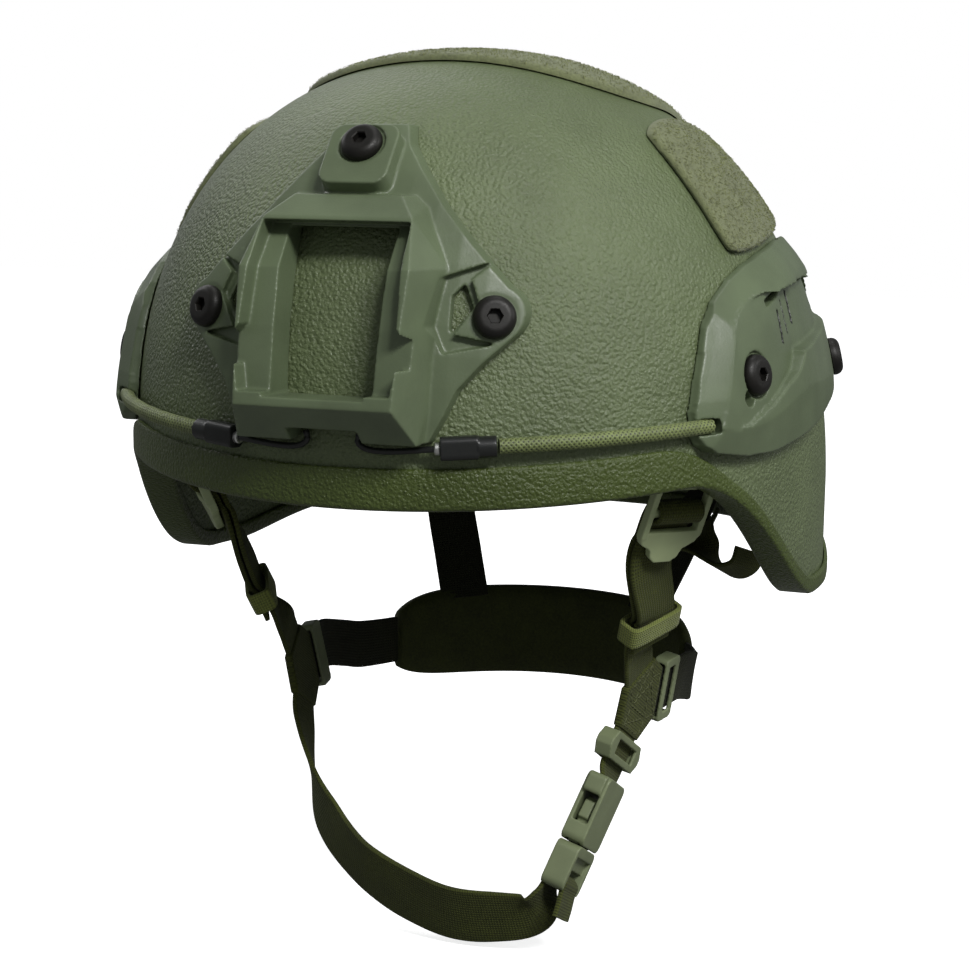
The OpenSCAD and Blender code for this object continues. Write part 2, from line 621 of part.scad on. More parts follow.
// Middle and half size of each side pad, as angle, angle, height, height
front_pad_at = [-90, 21, 33, 19];
rear_pad_at = [90, 22, 24, 20];
left_front_pad_at = [-50, 15, 78, 20];
left_rear_pad_at = [46, 17, 62, 24];
crown_pad_y = -12;
module disc(t, z) {
    n = 14;
    step = disc_r / half_w * 57;
    function ring(k, g) = k == 0 ? [on_shell(t, z, g)] : [for (i = [0 : n - 1])
        on_shell(t + step * cos(360 * i / n), z + disc_r * sin(360 * i / n), g)];
    round_slab([ring(0, disc_g), ring(1, disc_g)], [ring(0, disc_g - disc_t), ring(1, disc_g - disc_t)]);
}
module hook_discs() color(black) {
    disc(front_pad_at[0], front_pad_at[2]);
    disc(rear_pad_at[0], rear_pad_at[2]);
    for (a = [left_front_pad_at, left_rear_pad_at]) {
        disc(a[0], a[2]);
        disc(180 - a[0], a[2]);
    }
    n = 14;
    round_slab([for (k = [0 : 1]) crown_ring(k * disc_r, disc_g, n, k)],
        [for (k = [0 : 1]) crown_ring(k * disc_r, disc_g - disc_t, n, k)]);
}
function crown_ring(r, g, n, k) = k == 0 ? [on_top(0, crown_pad_y, g)] :
    [for (i = [0 : n - 1]) on_top(r * cos(360 * i / n), crown_pad_y + r * sin(360 * i / n), g)];
module pad(at) {
    nt = 8;
    nz = 6;
    // Fullness of the cushion, high in the middle and drawn in at its sides
    function full(s, r) = mix(pad_edge, pad_t, pow((1 - pow(abs(s), 4)) * (1 - pow(abs(r), 4)), 0.6));
    function p(i, j, deep) =
        let (s = 2 * i / nt - 1, r = 2 * j / nz - 1, ease = 1 - 0.12 * s * s * r * r)
        on_shell(at[0] + at[1] * s * ease, at[2] + at[3] * r * ease, deep ? pad_g - full(s, r) : pad_g);
    slab([for (i = [0 : nt]) [for (j = [0 : nz]) p(i, j, false)]],
        [for (i = [0 : nt]) [for (j = [0 : nz]) p(i, j, true)]]);
}
module front_pad() color(black) pad(front_pad_at);
module rear_pad() color(black) pad(rear_pad_at);
module left_front_pad() color(black) pad(left_front_pad_at);
module left_rear_pad() color(black) pad(left_rear_pad_at);
module right_front_pad() color(black) mirror([1, 0, 0]) pad(left_front_pad_at);
module right_rear_pad() color(black) mirror([1, 0, 0]) pad(left_rear_pad_at);
module crown_pad() {
    n = 24;
    rings = 5;
    function full(k) = mix(pad_edge, pad_t, pow(1 - pow(k / rings, 4), 0.6));
    color(black) round_slab([for (k = [0 : rings]) crown_ring(crown_pad_r * k / rings, pad_g, n, k)],
        [for (k = [0 : rings]) crown_ring(crown_pad_r * k / rings, pad_g - full(k), n, k)]);
}

// Harness. Points are the left side's, and the right side mirrors them.
// Middle of each junction, and the outward and downward directions of the harness there
joint_at = [half_w - 57.5, -18, -80];
side_out = unit([0.96, -0.15, -0.2]);
chin_down = unit([-11, -21, -44]);
temple_out = unit([0.82, -0.57, 0]);
joint_frame = frame_at(joint_at, side_out, -chin_down);
// Directions of the front strap and the nape strap in the plane of the junction
to_front = unit([-0.8, 0.6]);
to_nape = unit([0.85, 0.53]);
port = 13;
function port_point(u, d) = put(joint_frame, [u[0] * d, u[1] * d, 0]);
function flat_frame(p, down, out) = frame_at(p, cross(cross(down, out), down), -down);

// Ladder adjuster that tips about the bar in its middle
adjust_at = [half_w - 33.5, -60, -4];
adjust_down = unit([-7.5, 5, -19.5]);
adjust_w = 26;
bar_r = 1.7;
bar_up = 10.5;
adjust_frame = flat_frame(adjust_at, adjust_down, temple_out);
module left_adjuster() color(olive) adjuster();
module right_adjuster() color(olive) mirror([1, 0, 0]) adjuster();
module adjuster() multmatrix(adjust_frame) {
    for (y = [0, bar_up]) translate([0, y, 0]) rotate([0, 90, 0])
        cylinder(h = adjust_w - 2, r = bar_r, center = true, $fn = round_fn);
    for (x = [-1, 1]) translate([x * (adjust_w / 2 - 1.25), 0, -bar_r]) linear_extrude(2 * bar_r)
        translate([0, (bar_up - 8) / 2 - 0.5]) offset_free_rect(2.5, bar_up + 11, 1);
    translate([0, 0, -bar_r]) linear_extrude(2 * bar_r - 0.4) polygon([[-13, -7.6], [13, -7.6], [13, -9.6],
        [11.5, -12.4], [7, -14.8], [6, -18], [3.5, -20], [-3.5, -20], [-6, -18], [-7, -14.8], [-11.5, -12.4],
        [-13, -9.6]]);
}

// Anchor strap from the plate under the front rail bolt to the upper bar of the adjuster
bolt_out = out_of(-rail_bolt_front, rail_bolt_z);
bolt_frame = frame_at(on_shell(-rail_bolt_front, rail_bolt_z), bolt_out);
strap_lie = plate_seat - seat_gap - web_t / 2 - 0.9;
anchor_run = [put(bolt_frame, [0, -11, strap_lie - 1.1]), put(bolt_frame, [0, -19.5, strap_lie - 2.2]),
    put(adjust_frame, [0, 20, -1]), put(adjust_frame, [0, 16.4, -0.3]),
    put(adjust_frame, [0, bar_up + bar_r + 2 * seat_gap, 0])];
module left_anchor_strap() color(dark_web) anchor_strap();
module right_anchor_strap() color(dark_web) mirror([1, 0, 0]) anchor_strap();
module anchor_strap() webbing(anchor_run, [bolt_out, bolt_out, temple_out, temple_out, temple_out],
    [for (p = anchor_run) web_w], web_t);

// Front strap: its tail hangs in front, it turns over the middle bar and runs down to the junction
keeper_at = [half_w - 49.8, -36.5, -46.8];
keeper_down = unit([-6, 10, -20]);
keeper_out = unit([0.85, -0.45, -0.05]);
keeper_frame = flat_frame(keeper_at, keeper_down, keeper_out);
lie = 2.6;
in_adjuster = [[-24, -3], [-12, -3.1], [-6.8, -2.9], [-4.2, -0.4], [-2.5, 2.2], [0.3, 3.1], [2.6, 1.8],
    [3.1, -0.9], [1.2, -4.2], [-4, -5.6], [-13, -5.6], [-24, -5.6]];
front_run = concat([put(keeper_frame, [0, -9, lie + 0.3]), put(keeper_frame, [0, 0, lie]),
    put(keeper_frame, [0, 8, lie])], [for (p = in_adjuster) put(adjust_frame, [0, p[0], p[1]])],
    [put(keeper_frame, [0, 8, 0]), put(keeper_frame, [0, 0, 0]), put(keeper_frame, [0, -9, 0]),
    port_point(to_front, 22), port_point(to_front, 17.5), port_point(to_front, port + seat_gap)]);
front_faces = concat([keeper_out, keeper_out, keeper_out], [for (i = [0 : 4]) temple_out],
    [unit(temple_out - adjust_down), -adjust_down, unit(-temple_out - adjust_down), -temple_out, -temple_out,
    -temple_out, -temple_out], [-keeper_out, -keeper_out, -keeper_out, -side_out, -side_out, -side_out]);
module left_front_strap() color(web_colour) front_strap();
module right_front_strap() color(web_colour) mirror([1, 0, 0]) front_strap();
module front_strap() webbing(front_run, front_faces, [for (p = front_run) web_w - 1], web_t, 2);

// Elastic keeper round the front strap and its tail
module left_keeper() color(web_colour) keeper();
module right_keeper() color(web_colour) mirror([1, 0, 0]) keeper();
keeper_slot = 6.6;
keeper_wall = 1.5;
module keeper() multmatrix(keeper_frame) translate([0, 0, lie / 2]) difference() {
    cube([web_w + 5, 8.5, keeper_slot + 2 * keeper_wall], center = true);
    cube([web_w + 2, 20, keeper_slot], center = true);
}

// Rear straps from the rear anchors down to the nape pad
rear_bolt_out = out_of(rear_bolt_t, rear_bolt_z);
rear_frame = frame_at(on_shell(rear_bolt_t, rear_bolt_z), rear_bolt_out);
rear_out = unit([0.5, 0.86, 0.05]);
rear_run = [put(rear_frame, [0, -11, strap_lie - 1.1]), put(rear_frame, [0, -19.5, strap_lie - 2]),
    [half_w - 72, 98, -28], [half_w - 79, 90, -48], [half_w - 83.5, 84.6, -60]];
module left_rear_strap() color(dark_web) rear_strap();
module right_rear_strap() color(dark_web) mirror([1, 0, 0]) rear_strap();
module rear_strap() webbing(rear_run, [rear_bolt_out, rear_bolt_out, rear_out, rear_out, rear_out],
    [for (p = rear_run) web_w], web_t);
// Free tail of the left rear strap, that curls out
rear_tail_run = [[63.8, 92.6, -26.3], [66.6, 86, -32.6], [70.8, 76, -38.5], [77, 64, -41.5], [85, 54, -40],
    [90.5, 50, -34], [89.5, 51, -28.5]];
rear_tail_faces = [unit([0.85, 0.5, 0]), unit([0.8, 0.5, 0.3]), unit([0.6, 0.5, 0.6]), unit([0.3, 0.35, 0.9]),
    unit([-0.3, 0.1, 0.95]), unit([-0.85, -0.1, 0.5]), unit([-0.95, -0.15, -0.2])];
module left_rear_tail() color(web_colour) webbing(rear_tail_run, rear_tail_faces,
    [for (p = rear_tail_run) 17], web_t, 2);

// Nape pad, a soft curved band
nape_mid = [0, 96, -79];
nape_half = [half_w - 63, 64, -82.5];
module nape_pad() {
    n = 14;
    sides = 12;
    function mid(s) = let (a = s * 62) [nape_half[0] * sin(a) / sin(62),
        mix(nape_mid[1], nape_half[1], (1 - cos(a)) / (1 - cos(62))), mix(nape_mid[2], nape_half[2], s * s)];
    color(black) loft([for (i = [0 : n])
        let (
            s = 2 * i / n - 1,
            a = s * 62,
            out = [sin(a), cos(a), 0],
            full = pow(1 - pow(abs(s), 6) * 0.6, 0.5)
        ) [for (k = [0 : sides - 1]) let (b = 360 * k / sides)
            mid(s) + out * (nape_t / 2) * full * (cos(b) < 0 ? -1 : 1) * pow(abs(cos(b)), 0.7)
            + [0, 0, 1] * (nape_h / 2) * full * (sin(b) < 0 ? -1 : 1) * pow(abs(sin(b)), 0.6)]]);
}
nape_run = [nape_half + [0.5, -0.5, 0], [half_w - 58.5, 55, -82.6], [half_w - 54.7, 43, -81.8],
    [half_w - 52.4, 31, -79.4],
    port_point(to_nape, 35), port_point(to_nape, 24), port_point(to_nape, port + seat_gap)];
nape_faces = [unit([0.87, 0.49, 0]), unit([0.92, 0.37, -0.05]), unit([0.98, 0.18, -0.12]),
    unit([0.98, 0, -0.18]), side_out, side_out, side_out];
module left_nape_strap() color(web_colour) nape_strap();
module right_nape_strap() color(web_colour) mirror([1, 0, 0]) nape_strap();
module nape_strap() webbing(nape_run, nape_faces, [for (p = nape_run) web_w - 1], web_t);
// Slider on the nape strap
slider_l = 11;
slider_at = port_point(to_nape, port + 1 + slider_l / 2);
slider_down = unit(port_point(to_nape, 20) - joint_at);
slider_frame = flat_frame(slider_at, slider_down, side_out);
module left_slider() color(black) slider();
module right_slider() color(black) mirror([1, 0, 0]) slider();
module slider() multmatrix(slider_frame) difference() {
    translate([0, 0, -2.8]) rounded_plate(web_w + 5, slider_l, 5.6, 2);
    cube([web_w + 1, 40, web_t + 1.6], center = true);
    translate([0, 0, 3]) cube([web_w - 2, 5, 5], center = true);
}

// Junction, a sewn panel where the three straps of a side meet
module left_junction() color(web_colour) junction();
module right_junction() color(web_colour) mirror([1, 0, 0]) junction();
module junction() multmatrix(joint_frame) translate([0, 0, -1.6]) linear_extrude(3.2) polygon([
    for (u = [to_nape, to_front, [0, -1]], e = [-1, 1]) u * port + [-u[1], u[0]] * e * (web_w / 2 + 0.3)]);

// Strap from the left junction to the buckle, and the buckle's own frame
buckle_top = joint_at + chin_down * 31;
buckle_down = unit([-14, -19, -43]);
buckle_out = unit([0.93, -0.05, -0.3]);
module buckle_frame() multmatrix(flat_frame(buckle_top, buckle_down, buckle_out)) children();
buckle_run = [port_point([0, -1], port + seat_gap), port_point([0, -1], port + 13),
    buckle_top - buckle_down * 1.2];
module buckle_strap() color(web_colour) webbing(buckle_run, [side_out, side_out, buckle_out],
    [for (p = buckle_run) web_w], web_t);
// Lock on that strap, a frame with two slots and a wing at each end
lock_frame = flat_frame(port_point([0, -1], port + 6.5), unit(port_point([0, -1], 20) - joint_at), side_out);
module strap_lock() color(pale_olive) multmatrix(lock_frame) difference() {
    translate([0, 0, -3.3]) linear_extrude(6.6)
        polygon([[-12.5, 5], [12.5, 5], [15.5, 1], [15.5, -1.5], [12.5, -5.5],
        [-12.5, -5.5], [-15.5, -1.5], [-15.5, 1]]);
    cube([web_w + 1.4, 40, web_t + 2.4], center = true);
    translate([0, -0.2, 3]) cube([web_w - 1, 5.5, 4], center = true);
}

// Socket: an open mouthed sleeve with a window at each side for the spring arms
socket_wall = 1.6;
mouth_l = 8;
module buckle_socket() color(olive) buckle_frame() difference() {
    union() {
        translate([0, -socket_l / 2, -buckle_t / 2]) linear_extrude(buckle_t)
            offset_free_rect(buckle_w, socket_l, 3);
        translate([0, -4, -buckle_t / 2 + 1]) linear_extrude(buckle_t - 2) offset_free_rect(buckle_w + 4, 8, 2);
    }
    translate([0, -socket_l / 2 - 5, 0])
        cube([buckle_w - 2 * socket_wall, socket_l, buckle_t - 2 * socket_wall], center = true);
    for (s = [-1, 1]) translate([s * buckle_w / 2, -socket_l + mouth_l + 5, 0])
        cube([8, 11, buckle_t - 2 * socket_wall], center = true);
}
// Plug: base with a centre tongue, that pulls out of the socket
plug_l = 17;
tongue_l = 17;
plug_gap = 0.4;
module buckle_plug() color(olive) buckle_frame() difference() {
    union() {
        translate([0, -socket_l - plug_gap - plug_l / 2, -buckle_t / 2]) linear_extrude(buckle_t)
            offset_free_rect(buckle_w, plug_l, 3);
        translate([0, -socket_l - plug_gap + tongue_l / 2 - 1, 0]) cube([6, tongue_l + 2, 4], center = true);
    }
    translate([0, -socket_l - plug_gap - plug_l + 6, 0]) cube([web_w + 1, 4, 30], center = true);
    for (z = [-1, 1]) translate([0, -socket_l - plug_gap - plug_l / 2 - 3, z * buckle_t / 2])
        cube([web_w + 1, plug_l - 2, 3.4], center = true);
}
arm_root_x = buckle_w / 2 - socket_wall - arm_w / 2 - 1.6;
arm_l = 17.5;
arm_t = 4;
// Gap between the root of an arm and the plug, so that the arm can turn
arm_gap = 0.35;
arm_outline = [[-arm_w / 2, 0], [arm_w / 2, 0], [arm_w / 2 - 0.3, 8.5], [arm_w / 2 + 1.2, 9.5],
    [arm_w / 2 + 0.6, 15.5], [0, arm_l], [-arm_w / 2 + 0.4, 14], [-arm_w / 2 + 0.4, 6]];
module spring_arm(s) color(olive) buckle_frame()
    translate([s * arm_root_x, -socket_l - plug_gap + arm_gap, -arm_t / 2])
        linear_extrude(arm_t) polygon([for (p = arm_outline) [s * p[0], p[1]]]);
module front_spring_arm() spring_arm(-1);
module rear_spring_arm() spring_arm(1);

// Chin strap with its wider cup, from the plug round the chin and up to the right junction
plug_end = buckle_top + buckle_down * (socket_l + plug_gap + plug_l + 0.4);
chin_run = [plug_end, plug_end + buckle_down * 5, [40.5, -51.5, -154], [27.4, -53.5, -156.5], [8.8, -54, -157],
    [-12.2, -51, -152], [-30, -46.5, -144.4], [-46, -40, -131.5], [-55.5, -34, -115],
    mirrored(port_point([0, -1], port + 9)), mirrored(port_point([0, -1], port + seat_gap))];
chin_faces = [buckle_out, unit([0.85, -0.45, -0.3]), unit([0.5, -0.8, -0.35]), unit([0.2, -0.9, -0.4]),
    unit([0, -0.9, -0.43]), unit([-0.15, -0.9, -0.4]), unit([-0.35, -0.85, -0.4]), unit([-0.5, -0.8, -0.3]),
    unit([-0.9, -0.4, -0.1]), mirrored(side_out), mirrored(side_out)];
chin_widths = [web_w, web_w, cup_w, cup_w, cup_w, cup_w, cup_w, cup_w - 1, web_w, web_w, web_w];
module chin_strap() color(web_colour) webbing(chin_run, chin_faces, chin_widths, web_t, 3);

// Bungees. The cord runs from its bore in the rail along the shell to its connector.
cord_from = 36;
cord_z = 28;
cord_lift = skin_gap + cord_d / 2 + 1.1;
connector_from = 68;
function cord_point(a) = on_shell(-a,
    mix(cord_z, 22.8, (a - cord_from) / (connector_from - cord_from)), cord_lift);
cord_run = [for (a = [cord_from, 44, 52, 60, connector_from - 0.25]) cord_point(a)];
bore_run = [for (a = [cord_from - 1, 39, 42, 46]) cord_point(a)];
module left_cord() color(web_colour) round_cord(cord_run, cord_d, 10, 2);
module right_cord() color(web_colour) mirror([1, 0, 0]) round_cord(cord_run, cord_d, 10, 2);
hook_axis = unit(cord_point(connector_from + 7) - cord_point(connector_from));
hook_frame = frame_at(cord_point(connector_from), hook_axis, out_of(-connector_from - 4, 24));
wire_run = concat([put(hook_frame, [0, 0, connector_l - 2]), put(hook_frame, [0, 0, connector_l + 2])],
    [for (p = [[27, 20.6], [21, 20.1], [15, 20], [10.6, 20.9], [8.7, 23], [9.6, 25.4]])
        front_point(p[0], p[1], 3)]);
module left_connector() color(black) connector();
module right_connector() color(black) mirror([1, 0, 0]) connector();
module connector() {
    multmatrix(hook_frame) {
        cylinder(h = 6, r = cord_d / 2 + 1, $fn = round_fn);
        translate([0, 0, 5.9]) linear_extrude(connector_l - 5.9) offset_free_rect(7.6, 6.4, 2);
    }
    round_cord(wire_run, wire_d, 8, 2);
}

shell();
edge_trim();
shroud();
shroud_screws();
shroud_nuts();
left_rail();
right_rail();
rail_screws();
rail_nuts();
rear_screws();
rear_nuts();
anchor_plates();
crown_panel();
left_panel();
right_panel();
rear_panel();
hook_discs();
crown_pad();
front_pad();
rear_pad();
left_front_pad();
left_rear_pad();
right_front_pad();
right_rear_pad();
left_anchor_strap();
right_anchor_strap();
left_front_strap();
right_front_strap();
left_adjuster();
right_adjuster();
left_keeper();
right_keeper();
left_rear_strap();
right_rear_strap();
left_rear_tail();
left_slider();
right_slider();
nape_pad();
left_nape_strap();
right_nape_strap();
left_junction();
right_junction();
buckle_strap();
strap_lock();
buckle_socket();
buckle_plug();
front_spring_arm();
rear_spring_arm();
chin_strap();
left_cord();
right_cord();
left_connector();
right_connector();
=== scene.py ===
"""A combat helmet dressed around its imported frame.

The shell, trim, straps, pads and cords are built from the helmet's own curves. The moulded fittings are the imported
solids with the rounded corners that a mould leaves.
"""

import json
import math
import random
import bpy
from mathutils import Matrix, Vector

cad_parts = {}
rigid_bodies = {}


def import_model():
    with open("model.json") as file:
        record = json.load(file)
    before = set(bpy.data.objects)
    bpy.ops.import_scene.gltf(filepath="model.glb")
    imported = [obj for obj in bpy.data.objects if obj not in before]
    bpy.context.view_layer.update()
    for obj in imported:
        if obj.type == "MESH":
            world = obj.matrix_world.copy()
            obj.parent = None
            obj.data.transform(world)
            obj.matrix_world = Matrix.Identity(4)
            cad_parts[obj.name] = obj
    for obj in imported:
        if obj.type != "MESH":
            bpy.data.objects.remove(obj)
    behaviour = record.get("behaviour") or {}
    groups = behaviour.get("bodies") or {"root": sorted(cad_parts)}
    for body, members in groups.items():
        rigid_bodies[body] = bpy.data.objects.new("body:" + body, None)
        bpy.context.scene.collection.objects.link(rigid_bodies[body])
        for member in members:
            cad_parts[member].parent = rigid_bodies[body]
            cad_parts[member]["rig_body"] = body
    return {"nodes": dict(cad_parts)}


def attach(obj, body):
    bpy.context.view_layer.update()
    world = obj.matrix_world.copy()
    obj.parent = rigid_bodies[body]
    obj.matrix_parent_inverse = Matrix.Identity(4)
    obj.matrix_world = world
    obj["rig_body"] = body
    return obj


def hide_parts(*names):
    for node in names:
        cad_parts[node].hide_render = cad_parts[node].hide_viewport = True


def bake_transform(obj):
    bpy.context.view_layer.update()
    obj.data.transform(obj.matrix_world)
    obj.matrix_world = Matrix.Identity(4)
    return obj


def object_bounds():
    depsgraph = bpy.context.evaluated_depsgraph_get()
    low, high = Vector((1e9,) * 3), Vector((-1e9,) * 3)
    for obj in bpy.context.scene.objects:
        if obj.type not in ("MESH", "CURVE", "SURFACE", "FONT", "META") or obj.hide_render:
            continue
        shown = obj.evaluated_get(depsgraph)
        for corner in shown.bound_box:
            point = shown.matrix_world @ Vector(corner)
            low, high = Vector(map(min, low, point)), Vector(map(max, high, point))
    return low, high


bl_info = {
    "name": "Combat helmet",
    "version": (1, 0, 0),
    "blender": (4, 5, 0),
    "location": "View3D > Sidebar > Helmet",
    "description": "Builds a combat helmet with its shroud, rails, loop panels, pads and strap harness",
    "category": "Add Mesh",
}

import bmesh
import bpy
from mathutils import Matrix, Vector, noise

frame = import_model()
cad_box = [list(corner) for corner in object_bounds()]

MM = 0.001

# The shell's own curve, in millimetres and degrees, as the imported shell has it
HALF_WIDTH = 125.0
FRONT = 138.0
BACK = 142.0
CROWN = 151.0
CROWN_FORWARD = 18.0
WALL = 9.0
PLAN_POWER = 2.1
ARCH_SIDE = 2.23
ARCH_FRONT = 2.21
ARCH_BACK = 2.0
BROW_RISE = 12.0
LOBE_DROP = 38.5
LOBE_FROM = 50.0
LOBE_TO = 90.0
NAPE_DROP = 28.0
NAPE_FROM = 99.0
NAPE_TO = 131.0
TRIM_HEIGHT = 14.0
TRIM_THICK = 1.8
TRIM_NARROW = 0.45
TRIM_EARLY = 5.0
TRIM_SPAN = 16.0
SEAT_GAP = 0.3
SKIN_GAP = 0.6
PLATE_THICK = 1.5
# Rounds of the searches for an angle and for a point on the shell
HALVINGS = 24
ROUNDS = 12

TURN = 2 * math.pi
UP = Vector((0, 0, 1))
SIDES = ((1, "left"), (-1, "right"))


def unit(v):
    return Vector(v).normalized()


def mix(a, b, s):
    return a + (b - a) * s


def ease(x):
    c = min(1.0, max(0.0, x))
    return c * c * (3 - 2 * c)


def mirrored(p):
    return Vector((-p[0], p[1], p[2]))


def on_side(points, side):
    """Points of the left side, or their mirror images on the right where side is -1."""
    return [Vector(p) if side > 0 else mirrored(p) for p in points]


def plan_radius(t, g):
    """Radius of the plan outline at angle t, grown by g."""
    t = math.radians(t)
    along = (FRONT if math.sin(t) < 0 else BACK) + g
    across = HALF_WIDTH + g
    total = (abs(math.cos(t)) / across) ** PLAN_POWER + (abs(math.sin(t)) / along) ** PLAN_POWER
    return total ** (-1 / PLAN_POWER)


def arch(t):
    """Roundness of the arch from rim to crown at angle t."""
    t = math.radians(t)
    end = ARCH_FRONT if math.sin(t) < 0 else ARCH_BACK
    return ARCH_SIDE * math.cos(t) ** 2 + end * math.sin(t) ** 2


def on_shell(t, z, g=0.0):
    """Point of the shell's outside at angle t and height z, moved out by g."""
    u = min(1.0, max(0.0, z / (CROWN + g)))
    m = arch(t)
    r = plan_radius(t, g) * max(0.0, 1 - u**m) ** (1 / m)
    a = math.radians(t)
    return Vector((r * math.cos(a), r * math.sin(a) - CROWN_FORWARD * u, z))


def out_of(t, z):
    """Outward direction of the shell's surface there."""
    a = on_shell(t + 0.5, z) - on_shell(t - 0.5, z)
    b = on_shell(t, z + 0.5) - on_shell(t, z - 0.5)
    return a.cross(b).normalized()


def angle_at(x, z):
    """Angle on the front left quarter where the surface has the given x."""
    low, high = -90.0, 0.0
    for _ in range(HALVINGS):
        middle = (low + high) / 2
        if on_shell(middle, z).x < x:
            low = middle
        else:
            high = middle
    return (low + high) / 2


def on_top(x, y, g=0.0):
    """Point of the top of the shell over x, y."""
    u = 1.0
    for _ in range(ROUNDS):
        yy = y + CROWN_FORWARD * u
        t = math.degrees(math.atan2(yy, x))
        m = arch(t)
        rho = min(1.0, math.hypot(x, yy) / plan_radius(t, g))
        u = (1 - rho**m) ** (1 / m)
    return Vector((x, y, (CROWN + g) * u))


def from_brow(t):
    """Degrees from the middle of the brow round either side to angle t."""
    return math.degrees(math.acos(max(-1.0, min(1.0, -math.sin(math.radians(t))))))


def edge_z(t):
    """Height of the finished edge at angle t."""
    a = from_brow(t)
    into_lobe = ease((a - LOBE_FROM) / (LOBE_TO - LOBE_FROM))
    into_nape = ease((a - NAPE_FROM) / (NAPE_TO - NAPE_FROM))
    side = mix(BROW_RISE * math.cos(math.radians(t)) ** 2, -LOBE_DROP, into_lobe)
    return mix(side, -NAPE_DROP, into_nape)


def trim_up(t):
    """Height of the trim at angle t: tall over the brow, narrow from the lobes back."""
    return TRIM_HEIGHT * mix(1, TRIM_NARROW, ease((from_brow(t) - LOBE_FROM + TRIM_EARLY) / TRIM_SPAN))


def axes(x, y, z, p):
    """Matrix with its origin at p and its axes along x, y and z."""
    return Matrix(((x[0], y[0], z[0], p[0]), (x[1], y[1], z[1], p[1]), (x[2], y[2], z[2], p[2]), (0, 0, 0, 1)))


def frame_at(p, n, up=UP):
    """Frame with its origin at p, z along n and y as near as it gets to up."""
    z = unit(n)
    x = Vector(up).cross(z).normalized()
    return axes(x, z.cross(x), z, p)


def flat_frame(p, down, out):
    """Frame with its origin at p, y against down and z as near as it gets to out."""
    down, out = unit(down), unit(out)
    return frame_at(p, down.cross(out).cross(down), -down)


def curve(p, i, u):
    """Smooth curve through given points, on span i."""
    n = len(p) - 1
    a = p[i - 1] if i > 0 else 2 * p[0] - p[1]
    b, c = p[i], p[i + 1]
    d = p[i + 2] if i + 2 <= n else 2 * p[n] - p[n - 1]
    return 0.5 * (2 * b + (c - a) * u + (2 * a - 5 * b + 4 * c - d) * u * u + (3 * b - a - 3 * c + d) * u * u * u)


def run(p, steps):
    """Points of the smooth curve through p, with so many steps between two of them."""
    return [curve(p, i, s / steps) for i in range(len(p) - 1) for s in range(steps)] + [p[-1]]


def heading(path, i):
    """Direction of a path at its point i."""
    return (path[min(i + 1, len(path) - 1)] - path[max(i - 1, 0)]).normalized()


def around(n):
    """Angles of n points round a circle."""
    return [TURN * i / n for i in range(n)]


def circle(r, z, n):
    return [Vector((r * math.cos(a), r * math.sin(a), z)) for a in around(n)]


# Making pieces


def placed(name, data):
    """A new object of the scene."""
    obj = bpy.data.objects.new(name, data)
    bpy.context.scene.collection.objects.link(obj)
    return obj


def piece(name, points, faces, look, nodes, uv=None, sharp=40.0, body=None, between=None):
    """A mesh from points in millimetres, that rides with the node it replaces unless it lies between two bodies."""
    mesh = bpy.data.meshes.new(name)
    mesh.from_pydata([Vector(p) * MM for p in points], [], faces)
    if uv is not None:
        layer = mesh.uv_layers.new(name="lie")
        for loop in mesh.loops:
            layer.data[loop.index].uv = uv[loop.vertex_index]
    b = bmesh.new()
    b.from_mesh(mesh)
    bmesh.ops.recalc_face_normals(b, faces=b.faces)
    b.to_mesh(mesh)
    b.free()
    return settle(placed(name, mesh), look, nodes, sharp, body, between)


def settle(obj, look, nodes, sharp, body=None, between=None):
    """Gives a piece its shading and finish, its body unless it lies between two, and hides the nodes it replaces."""
    mesh = obj.data
    mesh.shade_smooth()
    mesh.set_sharp_from_angle(angle=math.radians(sharp))
    mesh.materials.clear()
    mesh.materials.append(MATERIALS[look])
    if between:
        a, b, start, end = between
        tuple(start * MM)
        tuple(end * MM)
        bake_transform(obj)
    else:
        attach(obj, body or frame["nodes"][nodes[0]]["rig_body"])
    if nodes and body is None:
        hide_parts(*nodes)
    return obj


def tube(rings, sides, first=0, closed=False):
    """Faces of a tube through rings of points, that are numbered ring by ring from first on."""
    faces = []
    for i in range(rings if closed else rings - 1):
        for j in range(sides):
            k, m = (i + 1) % rings, (j + 1) % sides
            faces.append((first + i * sides + j, first + i * sides + m, first + k * sides + m, first + k * sides + j))
    return faces


def loft(rings, closed=False):
    """Points and faces through a row of like rings, with flat ends or closed on itself."""
    n, s = len(rings), len(rings[0])
    points = [p for ring in rings for p in ring]
    faces = tube(n, s, 0, closed)
    if not closed:
        faces.append(tuple(range(s)))
        faces.append(tuple((n - 1) * s + j for j in reversed(range(s))))
    return points, faces


def grid(nu, nv, at):
    """Rows of points on a surface, where at gives the point for shares of its two lengths."""
    return [[at(i / nu, j / nv) for j in range(nv + 1)] for i in range(nu + 1)]


def grid_slab(outside, inside):
    """Points and faces of the solid between a grid and the grid behind it."""
    nu, nv = len(outside), len(outside[0])
    deep = nu * nv
    points = [p for row in outside for p in row] + [p for row in inside for p in row]
    faces = []
    for i in range(nu - 1):
        for j in range(nv - 1):
            a, b = i * nv + j, (i + 1) * nv + j
            faces.append((a, a + 1, b + 1, b))
            faces.append((deep + a, deep + b, deep + b + 1, deep + a + 1))
    edge = list(range(nv - 1)) + [i * nv + nv - 1 for i in range(nu - 1)]
    edge += [(nu - 1) * nv + j for j in range(nv - 1, 0, -1)] + [i * nv for i in range(nu - 1, 0, -1)]
    for k, a in enumerate(edge):
        b = edge[(k + 1) % len(edge)]
        faces.append((b, a, deep + a, deep + b))
    return points, faces


# A strap's round selvedge: distance in from its edge in millimetres, and share of its thickness there
SELVEDGE = ((0.0, 0.0), (0.12, 0.62), (0.45, 0.96), (1.0, 1.0))


